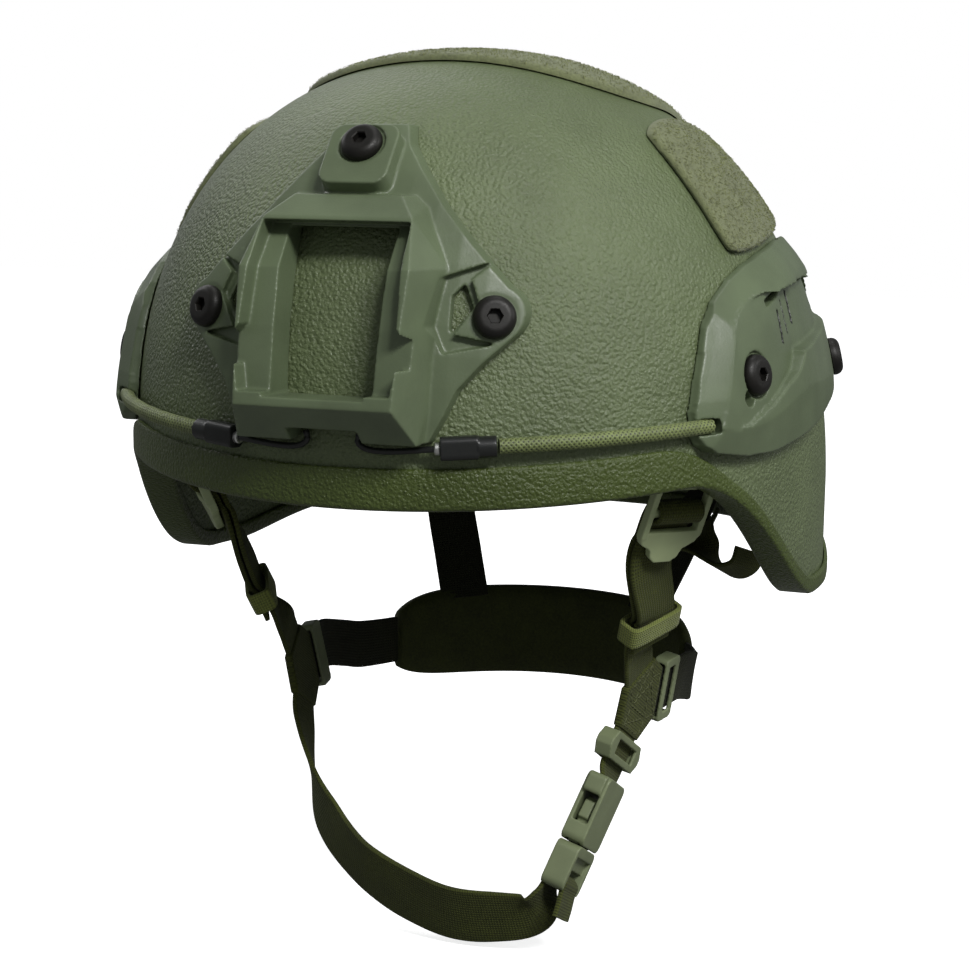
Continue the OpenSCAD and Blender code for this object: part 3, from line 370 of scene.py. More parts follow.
def strip_section(width, thick):
    """Section of a strap: flat faces with thin round selvedges, and a place across it for each point."""
    a, b = width / 2, thick / 2
    half = [(a - inn, share * b) for inn, share in SELVEDGE]
    half += [(a * k, b * 0.985) for k in (0.66, 0.33, 0.0, -0.33, -0.66)]
    half += [(inn - a, share * b) for inn, share in reversed(SELVEDGE)]
    return half + [(x, -y) for x, y in reversed(half[1:-1])]


def ribbon(name, points, faces, widths, look, nodes, steps, between=None):
    """Webbing along points, with the outward direction and the width at each, and its lie as a map."""
    path = run([Vector(p) for p in points], steps)
    out = run([Vector(f) for f in faces], steps)
    wide = run([Vector((w, 0, 0)) for w in widths], steps)
    rings, uv, length = [], [], 0.0
    for i, p in enumerate(path):
        along = heading(path, i)
        side = along.cross(out[i]).normalized()
        up = side.cross(along).normalized()
        length += (p - path[i - 1]).length if i else 0.0
        ripple = 0.12 * noise.noise(p * 0.09)
        section = strip_section(wide[i].x, sizes().web_thick)
        rings.append([p + side * x + up * (y + ripple) for x, y in section])
        uv += [(length, x) for x, y in section]
    points, faces = loft(rings)
    piece(name, points, faces, look, nodes, uv, 50.0, between=between)


def dress(node, look):
    """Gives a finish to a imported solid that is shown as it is."""
    mesh = frame["nodes"][node].data
    mesh.materials.clear()
    mesh.materials.append(MATERIALS[look])


def welded(node):
    """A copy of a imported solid's mesh, and the same for editing with its doubled points joined."""
    mesh = frame["nodes"][node].data.copy()
    b = bmesh.new()
    b.from_mesh(mesh)
    bmesh.ops.remove_doubles(b, verts=b.verts, dist=1e-6)
    return mesh, b


def softened(node, look, voxel, passes, keep=0.5):
    """A moulded piece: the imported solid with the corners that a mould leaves."""
    mesh, b = welded(node)
    skinned(node, mesh, b, look, voxel, passes, keep)


def skinned(node, mesh, b, look, voxel, passes, keep):
    """Covers a solid with one skin of voxels, rounds it in some passes and keeps a share of its faces."""
    b.to_mesh(mesh)
    b.free()
    name = node + "_moulding"
    raw = placed(name + "_raw", mesh)
    skin = raw.modifiers.new("skin", "REMESH")
    skin.mode = "VOXEL"
    skin.voxel_size = voxel * MM
    rounding = raw.modifiers.new("rounding", "SMOOTH")
    rounding.factor = 0.5
    rounding.iterations = passes
    thin = raw.modifiers.new("thin", "DECIMATE")
    thin.ratio = keep
    view = raw.evaluated_get(bpy.context.evaluated_depsgraph_get())
    shaped = bpy.data.meshes.new_from_object(view)
    shaped.name = name
    bpy.data.objects.remove(raw)
    settle(placed(name, shaped), look, [node], 60.0)


def shell_place(p):
    """Angle, height and distance from the shell's outside of a point in millimetres."""
    g = 4.0
    for _ in range(ROUNDS):
        u = min(1.0, max(0.0, p.z / (CROWN + g)))
        y = p.y + CROWN_FORWARD * u
        t = math.degrees(math.atan2(y, p.x))
        m = arch(t)
        reach = math.hypot(p.x, y) / max(1e-6, (1 - u**m) ** (1 / m))
        g += reach - plan_radius(t, g)
    return Vector((t, p.z, g))


# Faces of the side rail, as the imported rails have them: angles in degrees, drops in millimetres. The rail thins from
# one angle on, and its lower bevel climbs between two heights from another one on, both over the same span
RAIL_THICK = 7.5
RAIL_THIN = 3.0
RAIL_THIN_FROM = -14
RAIL_FOOT = (27, 39)
RAIL_FOOT_FROM = -30
RAIL_SPAN = 22
CHANNEL_DEPTH = 6.0
BOWL_DEPTH = 2.75
RAIL_TOP = [(-39, 62), (-33, 62.5), (-30, 67), (-24, 75), (-18.6, 79.6), (-10.9, 83.6)]
RAIL_TOP += [(0, 87.2), (11, 89.6), (21.7, 87), (30.6, 79), (36, 68), (46, 58)]
RAIL_DROP = [(0, 3.2), (1, 3.2), (2, 0), (5, 0), (6, 1.8), (7, 4.4), (8, 6.4)]
RAIL_FRONT = [(0, -38.5), (2, -38.5), (3, -37.6), (4, -35.6), (5, -33.8), (6, -32.6), (7, -31), (8, -29.5)]
FRONT_DROP = [(-4, 6.6), (0, 3.6), (4.2, 0)]
BOWL_DROP = [(-34, 0), (-18, BOWL_DEPTH), (-7, CHANNEL_DEPTH)]
# Outlines of the accessory channel and of the sunk face in side view, as y and z
CHANNEL_LINE = [(-47, 50.5), (-50, 60), (-47, 67.5), (-38, 71.5), (-24, 73), (16, 75.5), (48, 73)]
CHANNEL_LINE += [(58, 66), (59, 60), (33, 58.5), (0, 54.5), (-26, 51), (-40, 48.5)]
BOWL_LINE = [(-66, 67), (-71, 59), (-78, 40), (-82, 27), (-72.5, 27), (-63.8, 30), (-55.2, 34.5)]
BOWL_LINE += [(-45.4, 40), (-36, 44), (-29, 49), (-23, 57), (-18, 63), (-36, 71), (-48, 71)]
# Cutting the rail's flats before they are bent: millimetres that a degree round the shell counts as, the longest edge
# that is left, and the most rounds of cuts
DEGREE_LONG = 2.2
LONGEST_EDGE = 1.6
CUT_ROUNDS = 9
# How far from the face that it belongs to a point may lie, on a sunk face and on an outer one
SUNK_NEAR = 0.8
OUTER_NEAR = 2.0


def lookup(x, table):
    """Straight lines between the pairs of a table."""
    if x <= table[0][0]:
        return table[0][1]
    for (x0, y0), (x1, y1) in zip(table, table[1:]):
        if x <= x1:
            return mix(y0, y1, (x - x0) / (x1 - x0))
    return table[-1][1]


def within(y, z, outline):
    """Whether a point lies inside an outline, by the edges that a line from it crosses."""
    inside = False
    for (y0, z0), (y1, z1) in zip(outline, outline[1:] + outline[:1]):
        if (z0 > z) != (z1 > z) and y < y0 + (y1 - y0) * (z - z0) / (z1 - z0):
            inside = not inside
    return inside


def rail_face(t):
    """Distance from the shell of the rail's face at angle t, thinner behind the front bolt."""
    return SKIN_GAP + mix(RAIL_THICK, RAIL_THICK - RAIL_THIN, ease((t - RAIL_THIN_FROM) / RAIL_SPAN))


def rail_height(t, z):
    """Distance from the shell of the rail's outer face at angle t and height z."""
    a = mix(*RAIL_FOOT, ease((t - RAIL_FOOT_FROM) / RAIL_SPAN))
    b = sum(lookup(t + d, RAIL_TOP) for d in (-4, -2, 0, 2, 4)) / 5 - 10
    heights = [12, 17, a, mix(a, b, 0.35), mix(a, b, 0.7), b, b + 5, b + 10, b + 15]
    row = lookup(z, [(h, j) for j, h in enumerate(heights)])
    drop = max(lookup(t - lookup(row, RAIL_FRONT), FRONT_DROP), lookup(row, RAIL_DROP))
    return SKIN_GAP + (rail_face(t) - SKIN_GAP) * (1 - drop / RAIL_THICK)


def rail_floor(t):
    """The same of the sunk face round the front bolt and of the channel's floor."""
    return max(SKIN_GAP + RAIL_THICK - CHANNEL_DEPTH, rail_face(t) - lookup(t, BOWL_DROP))


def curved(node, side, look, voxel, passes, keep):
    """A moulded piece that hugs the shell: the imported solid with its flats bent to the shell's curve."""
    mesh, b = welded(node)
    matrix = frame["nodes"][node].matrix_world
    for v in b.verts:
        p = (matrix @ v.co) / MM
        q = shell_place(p if side > 0 else mirrored(p))
        v.co = (q.x * DEGREE_LONG, q.y, q.z)
    for _ in range(CUT_ROUNDS):
        long = [e for e in b.edges if e.calc_length() > LONGEST_EDGE]
        if not long:
            break
        bmesh.ops.subdivide_edges(b, edges=long, cuts=1, use_grid_fill=False)
        bmesh.ops.triangulate(b, faces=[f for f in b.faces if len(f.verts) > 3])
    back = matrix.inverted()
    for v in b.verts:
        t, z, g = v.co.x / DEGREE_LONG, v.co.y, v.co.z
        p = on_shell(t, z, g)
        sunk = within(p.y, z, CHANNEL_LINE) or within(p.y, z, BOWL_LINE)
        face, near = (rail_floor(t), SUNK_NEAR) if sunk else (rail_height(t, z), OUTER_NEAR)
        if abs(g - face) < near:
            p = on_shell(t, z, face)
        v.co = back @ ((p if side > 0 else mirrored(p)) * MM)
    skinned(node, mesh, b, look, voxel, passes, keep)


# Shader maths


class Net:
    """A material's nodes, with one socket of them that Python's operators work on."""

    def __init__(self, tree, socket=None):
        self.tree = tree
        self.socket = socket

    def make(self, kind, settings=None, inputs=None, output=0):
        """Adds a node of any kind: its settings, then the values or links of its sockets."""
        node = self.tree.nodes.new("ShaderNode" + kind)
        for key, value in (settings or {}).items():
            setattr(node, key, value)
        for key, value in (inputs or {}).items():
            if isinstance(value, Net):
                value.into(node.inputs[key])
            else:
                node.inputs[key].default_value = value
        return Net(self.tree, node.outputs[output])

    def into(self, socket):
        self.tree.links.new(self.socket, socket)

    def maths(self, operation, a, b=0.0):
        return self.make("Math", {"operation": operation}, {0: a, 1: b})

    def __add__(self, other):
        return self.maths("ADD", self, other)

    def __radd__(self, other):
        return self.maths("ADD", other, self)

    def __sub__(self, other):
        return self.maths("SUBTRACT", self, other)

    def __rsub__(self, other):
        return self.maths("SUBTRACT", other, self)

    def __mul__(self, other):
        return self.maths("MULTIPLY", self, other)

    def __rmul__(self, other):
        return self.maths("MULTIPLY", other, self)

    def size(self):
        return self.maths("ABSOLUTE", self)

    def sine(self):
        return self.maths("SINE", self)

    def between(self, low, high, to_low=0.0, to_high=1.0):
        """Turns the range from low to high into another one, and keeps to it."""
        inputs = {"Value": self, "From Min": low, "From Max": high, "To Min": to_low, "To Max": to_high}
        return self.make("MapRange", {"clamp": True}, inputs)

    def noise(self, place, scale, detail=3.0, roughness=0.55):
        inputs = {"Vector": place, "Scale": scale, "Detail": detail, "Roughness": roughness}
        return self.make("TexNoise", {}, inputs)

    def blend(self, a, b, factor):
        """Mixes two colours."""
        return self.make("Mix", {"data_type": "RGBA"}, {0: factor, 6: a, 7: b}, 2)

    def bend(self):
        """How the surface bends: above a half on edges and below a half in hollows."""
        return self.make("NewGeometry", output="Pointiness")

    def seen(self):
        """1 where the camera looks straight at the surface, and 0 for its light on other things."""
        return self.make("LightPath", output="Is Camera Ray")

    def place(self):
        return self.make("TexCoord", output="Object")

    def parts(self):
        """The three numbers of a vector."""
        node = self.make("SeparateXYZ", {}, {0: self}).socket.node
        return [Net(self.tree, socket) for socket in node.outputs]

    def side_place(self):
        """Places along the object and up it, in millimetres."""
        _, y, z = self.place().parts()
        return y * PER_METRE, z * PER_METRE

    def lie(self):
        """Length along and place across a strap, in millimetres."""
        along, across, _ = self.make("UVMap", {"uv_map": "lie"}).parts()
        return along, across


MATERIALS = {}
PER_METRE = 1000.0


def rgba(colour, k=1.0):
    return (colour[0] * k, colour[1] * k, colour[2] * k, 1.0)


def finish(name, build, **fixed):
    """A material whose build function gives what changes over it, with the rest set on the shader.

    Its looks are a colour, a roughness, the height of its grain and, in millimetres, how deep that grain is.
    """
    material = bpy.data.materials.new(name)
    material.use_nodes = True
    shader = material.node_tree.nodes["Principled BSDF"]
    net = Net(material.node_tree)
    looks = build(net)
    for key in ("Base Color", "Roughness", "Metallic"):
        value = looks.get(key)
        if isinstance(value, Net):
            value.into(shader.inputs[key])
        elif value is not None:
            shader.inputs[key].default_value = value
    inputs = {"Height": looks["height"], "Strength": 1.0, "Distance": looks["deep"] * MM}
    net.make("Bump", {}, inputs).into(shader.inputs["Normal"])
    for key, value in fixed.items():
        shader.inputs[key.replace("_", " ")].default_value = value
    MATERIALS[name] = material


# Roughness of the paint from its smooth to its worn patches
PAINT_ROUGH = (0.29, 0.37)


def painted(colour, grain, deep=0.95):
    """Sand textured paint: close pebbles over a faint mottle, thinner on the high spots."""

    def build(net):
        p = net.place()
        inputs = {"Vector": p, "Scale": PER_METRE / grain, "Smoothness": 0.6}
        pebbles = net.make("TexVoronoi", {"feature": "SMOOTH_F1"}, inputs)
        fine = net.noise(p, PER_METRE / (grain * 0.55), 3.0, 0.6)
        mottle = net.noise(p, 28.0, 4.0)
        high = (1.0 - pebbles) * 0.6 + fine * 0.5
        shade = net.blend(rgba(colour, 0.86), rgba(colour, 1.12), mottle.between(0.3, 0.7))
        worn = net.blend(shade, rgba(colour, 1.35), high.between(0.62, 0.9) * 0.5)
        rough = mottle.between(0.3, 0.7, *PAINT_ROUGH)
        return {"Base Color": worn, "Roughness": rough, "height": high, "deep": deep}

    return build


def moulded(colour, grain, rough, deep):
    """Moulded plastic with a spark eroded grain, lighter where it is handled, and painted shade in its hollows."""

    def build(net):
        p = net.place()
        fine = net.noise(p, PER_METRE / grain, 3.0, 0.7)
        mottle = net.noise(p, 45.0, 3.0)
        bend = net.bend()
        edges = bend.between(0.53, 0.62) * 0.45
        # Painted shade: the colour darkens in hollows and recesses, where shade falls.
        hollow_shade = bend.between(0.38, 0.475, 0.75, 0.0)
        shade = net.blend(rgba(colour, 0.9), rgba(colour, 1.1), mottle.between(0.35, 0.65))
        shade = net.blend(shade, rgba(colour, 1.5), edges)
        shade = net.blend(shade, rgba(colour, 0.25), hollow_shade)
        roughness = fine.between(0.3, 0.7, rough - 0.06, rough + 0.08)
        return {"Base Color": shade, "Roughness": roughness, "height": fine, "deep": deep}

    return build


# The rail's vents in side view, where shade is painted into the plastic: how many, the middle of the first,
# the steps to the next, their half width and half length with the softness of their edges, and the way they lean
VENTS = 3
VENT_Y, VENT_Z = -37, 59
VENT_STEP_Y, VENT_STEP_Z = 9, 3
VENT_WIDE = (0.85, 1.25)
VENT_LONG = (5.5, 6.1)
VENT_LEAN = Vector((math.sin(math.radians(6)), math.cos(math.radians(6)), 0))


def vented(colour, grain, rough, deep):
    """The rail's plastic, with painted shade darkening its slanted vents."""
    plain = moulded(colour, grain, rough, deep)

    def build(net):
        looks = plain(net)
        y, z = net.side_place()
        dark = None
        for k in range(VENTS):
            dy, dz = y - (VENT_Y + VENT_STEP_Y * k), z - (VENT_Z + VENT_STEP_Z * k)
            cross = (dy * VENT_LEAN.y - dz * VENT_LEAN.x).size()
            along = (dy * VENT_LEAN.x + dz * VENT_LEAN.y).size()
            slit_shade = cross.between(*VENT_WIDE, 1.0, 0.0) * along.between(*VENT_LONG, 1.0, 0.0)
            dark = slit_shade if dark is None else dark + slit_shade
        # Painted shade: the vents are coloured almost black, where shade falls into the slits.
        looks["Base Color"] = net.blend(looks["Base Color"], rgba(colour, 0.08), dark)
        return looks

    return build


# Millimetres between the picks and between the columns of the webbing
PICK_PITCH = 1.0
COLUMN_PITCH = 1.1


def woven(colour):
    """Webbing: picks across, columns along, and a paler worn face."""

    def build(net):
        along, across = net.lie()
        p = net.place()
        columns = (across * (TURN / COLUMN_PITCH)).sine()
        picks = (along * (TURN / PICK_PITCH) + columns * 0.9).sine()
        weave = picks * 0.35 + columns * 0.3 + 0.5
        fuzz = net.noise(p, 900.0, 4.0, 0.7)
        wear = net.noise(p, 60.0, 4.0)
        dark = net.blend(rgba(colour, 0.5), rgba(colour, 1.0), weave.between(0.15, 0.75))
        shade = net.blend(dark, rgba(colour, 1.55), (wear.between(0.42, 0.7) * fuzz.between(0.35, 0.7)) * 0.7)
        return {"Base Color": shade, "Roughness": 0.86, "height": weave + fuzz * 0.5, "deep": 0.22}

    return build


def looped(colour):
    """Loop fastener pile: tangled loops, with painted shade in the gaps and a painted highlight on the tips."""

    def build(net):
        p = net.place()
        tangle = net.noise(p, 950.0, 5.0, 0.75)
        clumps = net.noise(p, 110.0, 3.0)
        high = tangle * 0.8 + clumps * 0.3
        # Painted shade and highlight: darker where the pile is low, lighter where it stands high.
        shade = net.blend(rgba(colour, 0.6), rgba(colour, 1.35), high.between(0.36, 0.72))
        return {"Base Color": shade, "Roughness": 0.95, "height": high, "deep": 0.35}

    return build


def cloth(colour, thread, rough):
    """Close woven pad cover."""

    def build(net):
        p = net.place()
        weave = net.noise(p, PER_METRE / thread, 2.0, 0.5)
        soft = net.noise(p, 70.0, 4.0)
        shade = net.blend(rgba(colour, 0.6), rgba(colour, 1.5), (weave * 0.6 + soft * 0.5).between(0.35, 0.75))
        return {"Base Color": shade, "Roughness": rough, "height": weave + soft * 0.5, "deep": 0.18}

    return build


def metal(colour, rough, grain, metallic):
    """Plated or blackened steel with handling marks."""

    def build(net):
        p = net.place()
        marks = net.noise(p, PER_METRE / grain, 4.0, 0.65)
        tone = net.noise(p, 130.0, 3.0)
        shade = net.blend(rgba(colour, 0.8), rgba(colour, 1.25), tone.between(0.35, 0.65))
        shade = net.blend(shade, rgba(colour, 2.2), net.bend().between(0.54, 0.64) * 0.5)
        roughness = marks.between(0.3, 0.75, rough - 0.08, rough + 0.12)
        return {"Base Color": shade, "Roughness": roughness, "Metallic": metallic, "height": marks, "deep": 0.02}

    return build


# Strands each way in the braid of the cords, and their turn for each millimetre along
BRAID_STRANDS = 8
BRAID_TURN = TURN / 1.6


def braided(colour):
    """Elastic cord cover: the strands are modelled, and this gives their yarns, sheen and painted shade between them.
    """

    def build(net):
        along, across = net.lie()
        p = net.place()
        yarn = net.noise(p, 1500.0, 3.0, 0.7)
        tone = net.noise(p, 200.0, 3.0)
        shade = net.blend(rgba(colour, 0.55), rgba(colour, 1.35), (yarn * 0.6 + tone * 0.4).between(0.35, 0.65))
        one = (across * BRAID_STRANDS + along * BRAID_TURN + math.pi / 2).sine()
        two = (across * BRAID_STRANDS - along * BRAID_TURN + math.pi / 2).sine()
        gap_shade = (1.0 - one) * (1.0 - two)
        # Painted shade: the colour darkens in the gaps between the strands.
        shade = net.blend(shade, rgba(colour, 0.2), gap_shade.between(1.2, 2.8))
        return {"Base Color": shade, "Roughness": 0.5, "height": yarn, "deep": 0.12}

    return build


# Settings that a user would change, and what all colours among them share
COLOUR = {"subtype": "COLOR", "min": 0, "max": 1}


class HelmetColours(bpy.types.PropertyGroup):
    """Colours of the helmet's finishes."""

    shell: bpy.props.FloatVectorProperty(
        name="Shell paint",
        description="Colour of the sand textured paint",
        default=(0.132, 0.168, 0.078),
        **COLOUR,
    )
    fitting: bpy.props.FloatVectorProperty(
        name="Fittings",
        description="Colour of the shroud and rails",
        default=(0.118, 0.152, 0.083),
        **COLOUR,
    )
    hardware: bpy.props.FloatVectorProperty(
        name="Strap hardware",
        description="Colour of the buckle; the adjusters are a paler tone of it",
        default=(0.2, 0.235, 0.125),
        **COLOUR,
    )
    strap: bpy.props.FloatVectorProperty(
        name="Webbing",
        description="Colour of the harness webbing",
        default=(0.058, 0.07, 0.006),
        **COLOUR,
    )
    loop: bpy.props.FloatVectorProperty(
        name="Loop panels",
        description="Colour of the loop fastener panels",
        default=(0.15, 0.17, 0.075),
        **COLOUR,
    )
    pad: bpy.props.FloatVectorProperty(
        name="Pads",
        description="Colour of the comfort pads",
        default=(0.01, 0.012, 0.005),
        **COLOUR,
    )
    steel: bpy.props.FloatVectorProperty(
        name="Bolts",
        description="Colour of the blackened bolts",
        default=(0.011, 0.01, 0.008),
        **COLOUR,
    )


class HelmetSizes(bpy.types.PropertyGroup):
    """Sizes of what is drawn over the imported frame."""

    grain: bpy.props.FloatProperty(
        name="Paint grain",
        description="Distance between the pebbles of the paint, in millimetres",
        default=1.35,
        min=0.5,
        max=4,
    )
    sides: bpy.props.IntProperty(
        name="Shell sides",
        description="Divisions round the shell",
        default=240,
        min=60,
        max=480,
    )
    web_thick: bpy.props.FloatProperty(
        name="Webbing thickness",
        description="Thickness of the straps, in millimetres",
        default=1.8,
        min=1,
        max=2.5,
    )
    pile: bpy.props.FloatProperty(
        name="Pile length",
        description="Length of the loops on the panels, in millimetres",
        default=0.5,
        min=0.3,
        max=2.5,
    )
    lamp: bpy.props.FloatProperty(
        name="Light",
        description="Strength of the studio lamps",
        default=1.0,
        min=0.1,
        max=4,
    )


def colours():
    return bpy.context.scene.helmet_colours


def sizes():
    return bpy.context.scene.helmet_sizes


# The camera, as the photograph was taken: degrees, millimetres and the lens
CAMERA_AZIMUTH = 20.493
CAMERA_ELEVATION = 7.0
CAMERA_ROLL = 1.2
CAMERA_DISTANCE = 887.1
CAMERA_ACROSS = -0.97
CAMERA_UP = -6.64
CAMERA_LENS = 87.22
CAMERA_SENSOR = 36
CAMERA_CLIP = (0.05, 50)
# Lamps: degrees round from the front and up from the floor, metres away and wide, and watts
LAMPS = {
    "key": (52, 36, 2.0, 0.45, 16),
    "spot": (38, 40, 2.0, 0.3, 11.5),
    "side": (100, 25, 1.8, 0.8, 4.8),
    "left": (-105, 35, 1.8, 0.8, 4.5),
    "top": (165, 80, 1.7, 0.9, 3.7),
    "rim": (220, 40, 1.7, 0.8, 2.1),
}
# Colours that light the object from the room and from the floor, and what the camera sees of the floor
ROOM = (0.21, 0.217, 0.22, 1.0)
FLOOR = (0.2, 0.2, 0.2, 1.0)
FLOOR_SEEN = (0.86, 0.86, 0.86, 1.0)
WHITE = (1.0, 1.0, 1.0, 1.0)
BLACK = (0.0, 0.0, 0.0, 1.0)
# The floor, in metres: half its width and its distance below the helmet, and how its glow grows with distance
FLOOR_HALF = 6.0
FLOOR_BELOW = 0.0015
FLOOR_GLOW = (0.15, 0.6, 0.72, 1.0)


def toward(turn, rise):
    """Direction from the origin, by degrees round from the front and up from the floor."""
    a, e = math.radians(turn), math.radians(rise)
    return Vector((math.sin(a) * math.cos(e), -math.cos(a) * math.cos(e), math.sin(e)))


class HELMET_OT_stage(bpy.types.Operator):
    """Makes the camera, the pale floor and the soft studio light"""

    bl_idname = "helmet.stage"
    bl_label = "Stage"

    def execute(self, context):
        scene = context.scene
        scene.view_settings.view_transform = "Standard"
        self.camera(scene)
        for name, lamp in LAMPS.items():
            self.lamp(name, *lamp)
        self.world(scene)
        self.floor()
        return {"FINISHED"}

    def camera(self, scene):
        a, r = math.radians(CAMERA_AZIMUTH), math.radians(CAMERA_ROLL)
        back = toward(CAMERA_AZIMUTH, CAMERA_ELEVATION)
        right = UP.cross(back).normalized()
        up = back.cross(right)
        turned_right = right * math.cos(r) + up * math.sin(r)
        turned_up = up * math.cos(r) - right * math.sin(r)
        target = Vector((CAMERA_ACROSS * math.cos(a), CAMERA_ACROSS * math.sin(a), CAMERA_UP))
        place = (target + back * CAMERA_DISTANCE) * MM
        data = bpy.data.cameras.new("camera")
        data.type = "PERSP"
        data.sensor_width = CAMERA_SENSOR
        data.lens = CAMERA_LENS
        data.clip_start, data.clip_end = CAMERA_CLIP
        camera = placed("camera", data)
        camera.matrix_world = axes(turned_right, turned_up, back, place)
        scene.camera = camera

    def lamp(self, name, turn, rise, away, size, power):
        way = toward(turn, rise)
        data = bpy.data.lights.new(name, "AREA")
        data.shape = "DISK"
        data.size = size
        data.energy = power * sizes().lamp
        obj = placed(name, data)
        obj.location = way * away
        obj.rotation_euler = (-way).to_track_quat("-Z", "Y").to_euler()

    def world(self, scene):
        """Grey room whose backdrop the camera sees as white."""
        world = bpy.data.worlds.new("studio")
        scene.world = world
        world.use_nodes = True
        background = world.node_tree.nodes["Background"]
        net = Net(world.node_tree)
        net.blend(ROOM, WHITE, net.seen()).into(background.inputs["Color"])
        background.inputs["Strength"].default_value = 1.0

    def floor(self):
        """Floor that the camera sees as white away from the helmet, and that keeps its shadow."""
        low, size = cad_box[0][2] - FLOOR_BELOW, FLOOR_HALF
        mesh = bpy.data.meshes.new("floor")
        corners = [(-size, -size, low), (size, -size, low), (size, size, low), (-size, size, low)]
        mesh.from_pydata(corners, [], [(0, 1, 2, 3)])
        material = bpy.data.materials.new("floor")
        material.use_nodes = True
        shader = material.node_tree.nodes["Principled BSDF"]
        shader.inputs["Roughness"].default_value = 0.9
        shader.inputs["Specular IOR Level"].default_value = 0.0
        shader.inputs["Emission Strength"].default_value = 1.0
        net = Net(material.node_tree)
        seen = net.seen()
        net.blend(FLOOR, FLOOR_SEEN, seen).into(shader.inputs["Base Color"])
        away = net.make("VectorMath", {"operation": "LENGTH"}, {0: net.place()}, "Value")
        glow = seen * away.between(*FLOOR_GLOW)
        net.blend(BLACK, WHITE, glow).into(shader.inputs["Emission Color"])
        mesh.materials.append(material)
        floor = placed("floor", mesh)


def toned(colour, *k):
    """A colour times one number, or times a number for each of its channels."""
    return tuple(x * y for x, y in zip(colour, k * 3 if len(k) == 1 else k))


# Base colours that no setting changes
CORD_GREEN = (0.172, 0.212, 0.07)
ZINC = (0.52, 0.52, 0.5)
CONNECTOR_BLACK = (0.013, 0.014, 0.013)
HOOK_BLACK = (0.03, 0.03, 0.028)
THREAD_GREEN = (0.09, 0.1, 0.04)


class HELMET_OT_finishes(bpy.types.Operator):
    """Makes the materials of the paint, plastic, webbing, pile, pads and steel"""

    bl_idname = "helmet.finishes"
    bl_label = "Finishes"

    def execute(self, context):
        c = colours()
        grain = sizes().grain
        fitting = {"grain": 0.8, "rough": 0.39, "deep": 0.05}
        pile = {"Sheen_Weight": 0.2, "Sheen_Roughness": 0.6}
        cover = {"Sheen_Weight": 0.06, "Sheen_Roughness": 0.4}
        finish("shell paint", painted(tuple(c.shell), grain))
        finish("trim rubber", painted(toned(c.shell, 0.5, 0.55, 0.24), grain * 0.9, deep=0.8))
        finish("fitting plastic", moulded(tuple(c.fitting), **fitting))
        finish("rail plastic", vented(tuple(c.fitting), **fitting))
        finish("hardware plastic", moulded(tuple(c.hardware), grain=0.6, rough=0.45, deep=0.04))
        finish("pale plastic", moulded(toned(c.hardware, 2.1), grain=0.6, rough=0.42, deep=0.04))
        finish("connector plastic", moulded(CONNECTOR_BLACK, grain=0.6, rough=0.36, deep=0.03))
        finish("webbing", woven(tuple(c.strap)), Sheen_Weight=0.04, Sheen_Roughness=0.5)
        finish("pale webbing", woven(toned(c.strap, 4.1, 4.0, 10)), Sheen_Weight=0.15)
        finish("dark webbing", woven(toned(c.strap, 0.25)), Sheen_Weight=0.03)
        finish("cord cover", braided(CORD_GREEN), Sheen_Weight=0.1)
        finish("loop pile", looped(tuple(c.loop)), **pile)
        # Painted light: the yarn loops on the panels are a lighter copy of the pile's own colour.
        finish("loop tips with painted light", looped(toned(c.loop, 1.5, 1.47, 1.15)), **pile)
        finish("hook tape", looped(HOOK_BLACK))
        finish("pad cover", cloth(tuple(c.pad), thread=0.8, rough=0.8), **cover)
        finish("nape cover", cloth(toned(c.pad, 3.2, 3.4, 0.6), thread=0.8, rough=0.8), **cover)
        finish("thread", cloth(THREAD_GREEN, thread=0.3, rough=0.7))
        finish("black bolt", metal(tuple(c.steel), rough=0.46, grain=0.7, metallic=0.35))
        finish("zinc steel", metal(ZINC, rough=0.34, grain=0.5, metallic=1.0))
        return {"FINISHED"}


SHELL_ROWS = 84


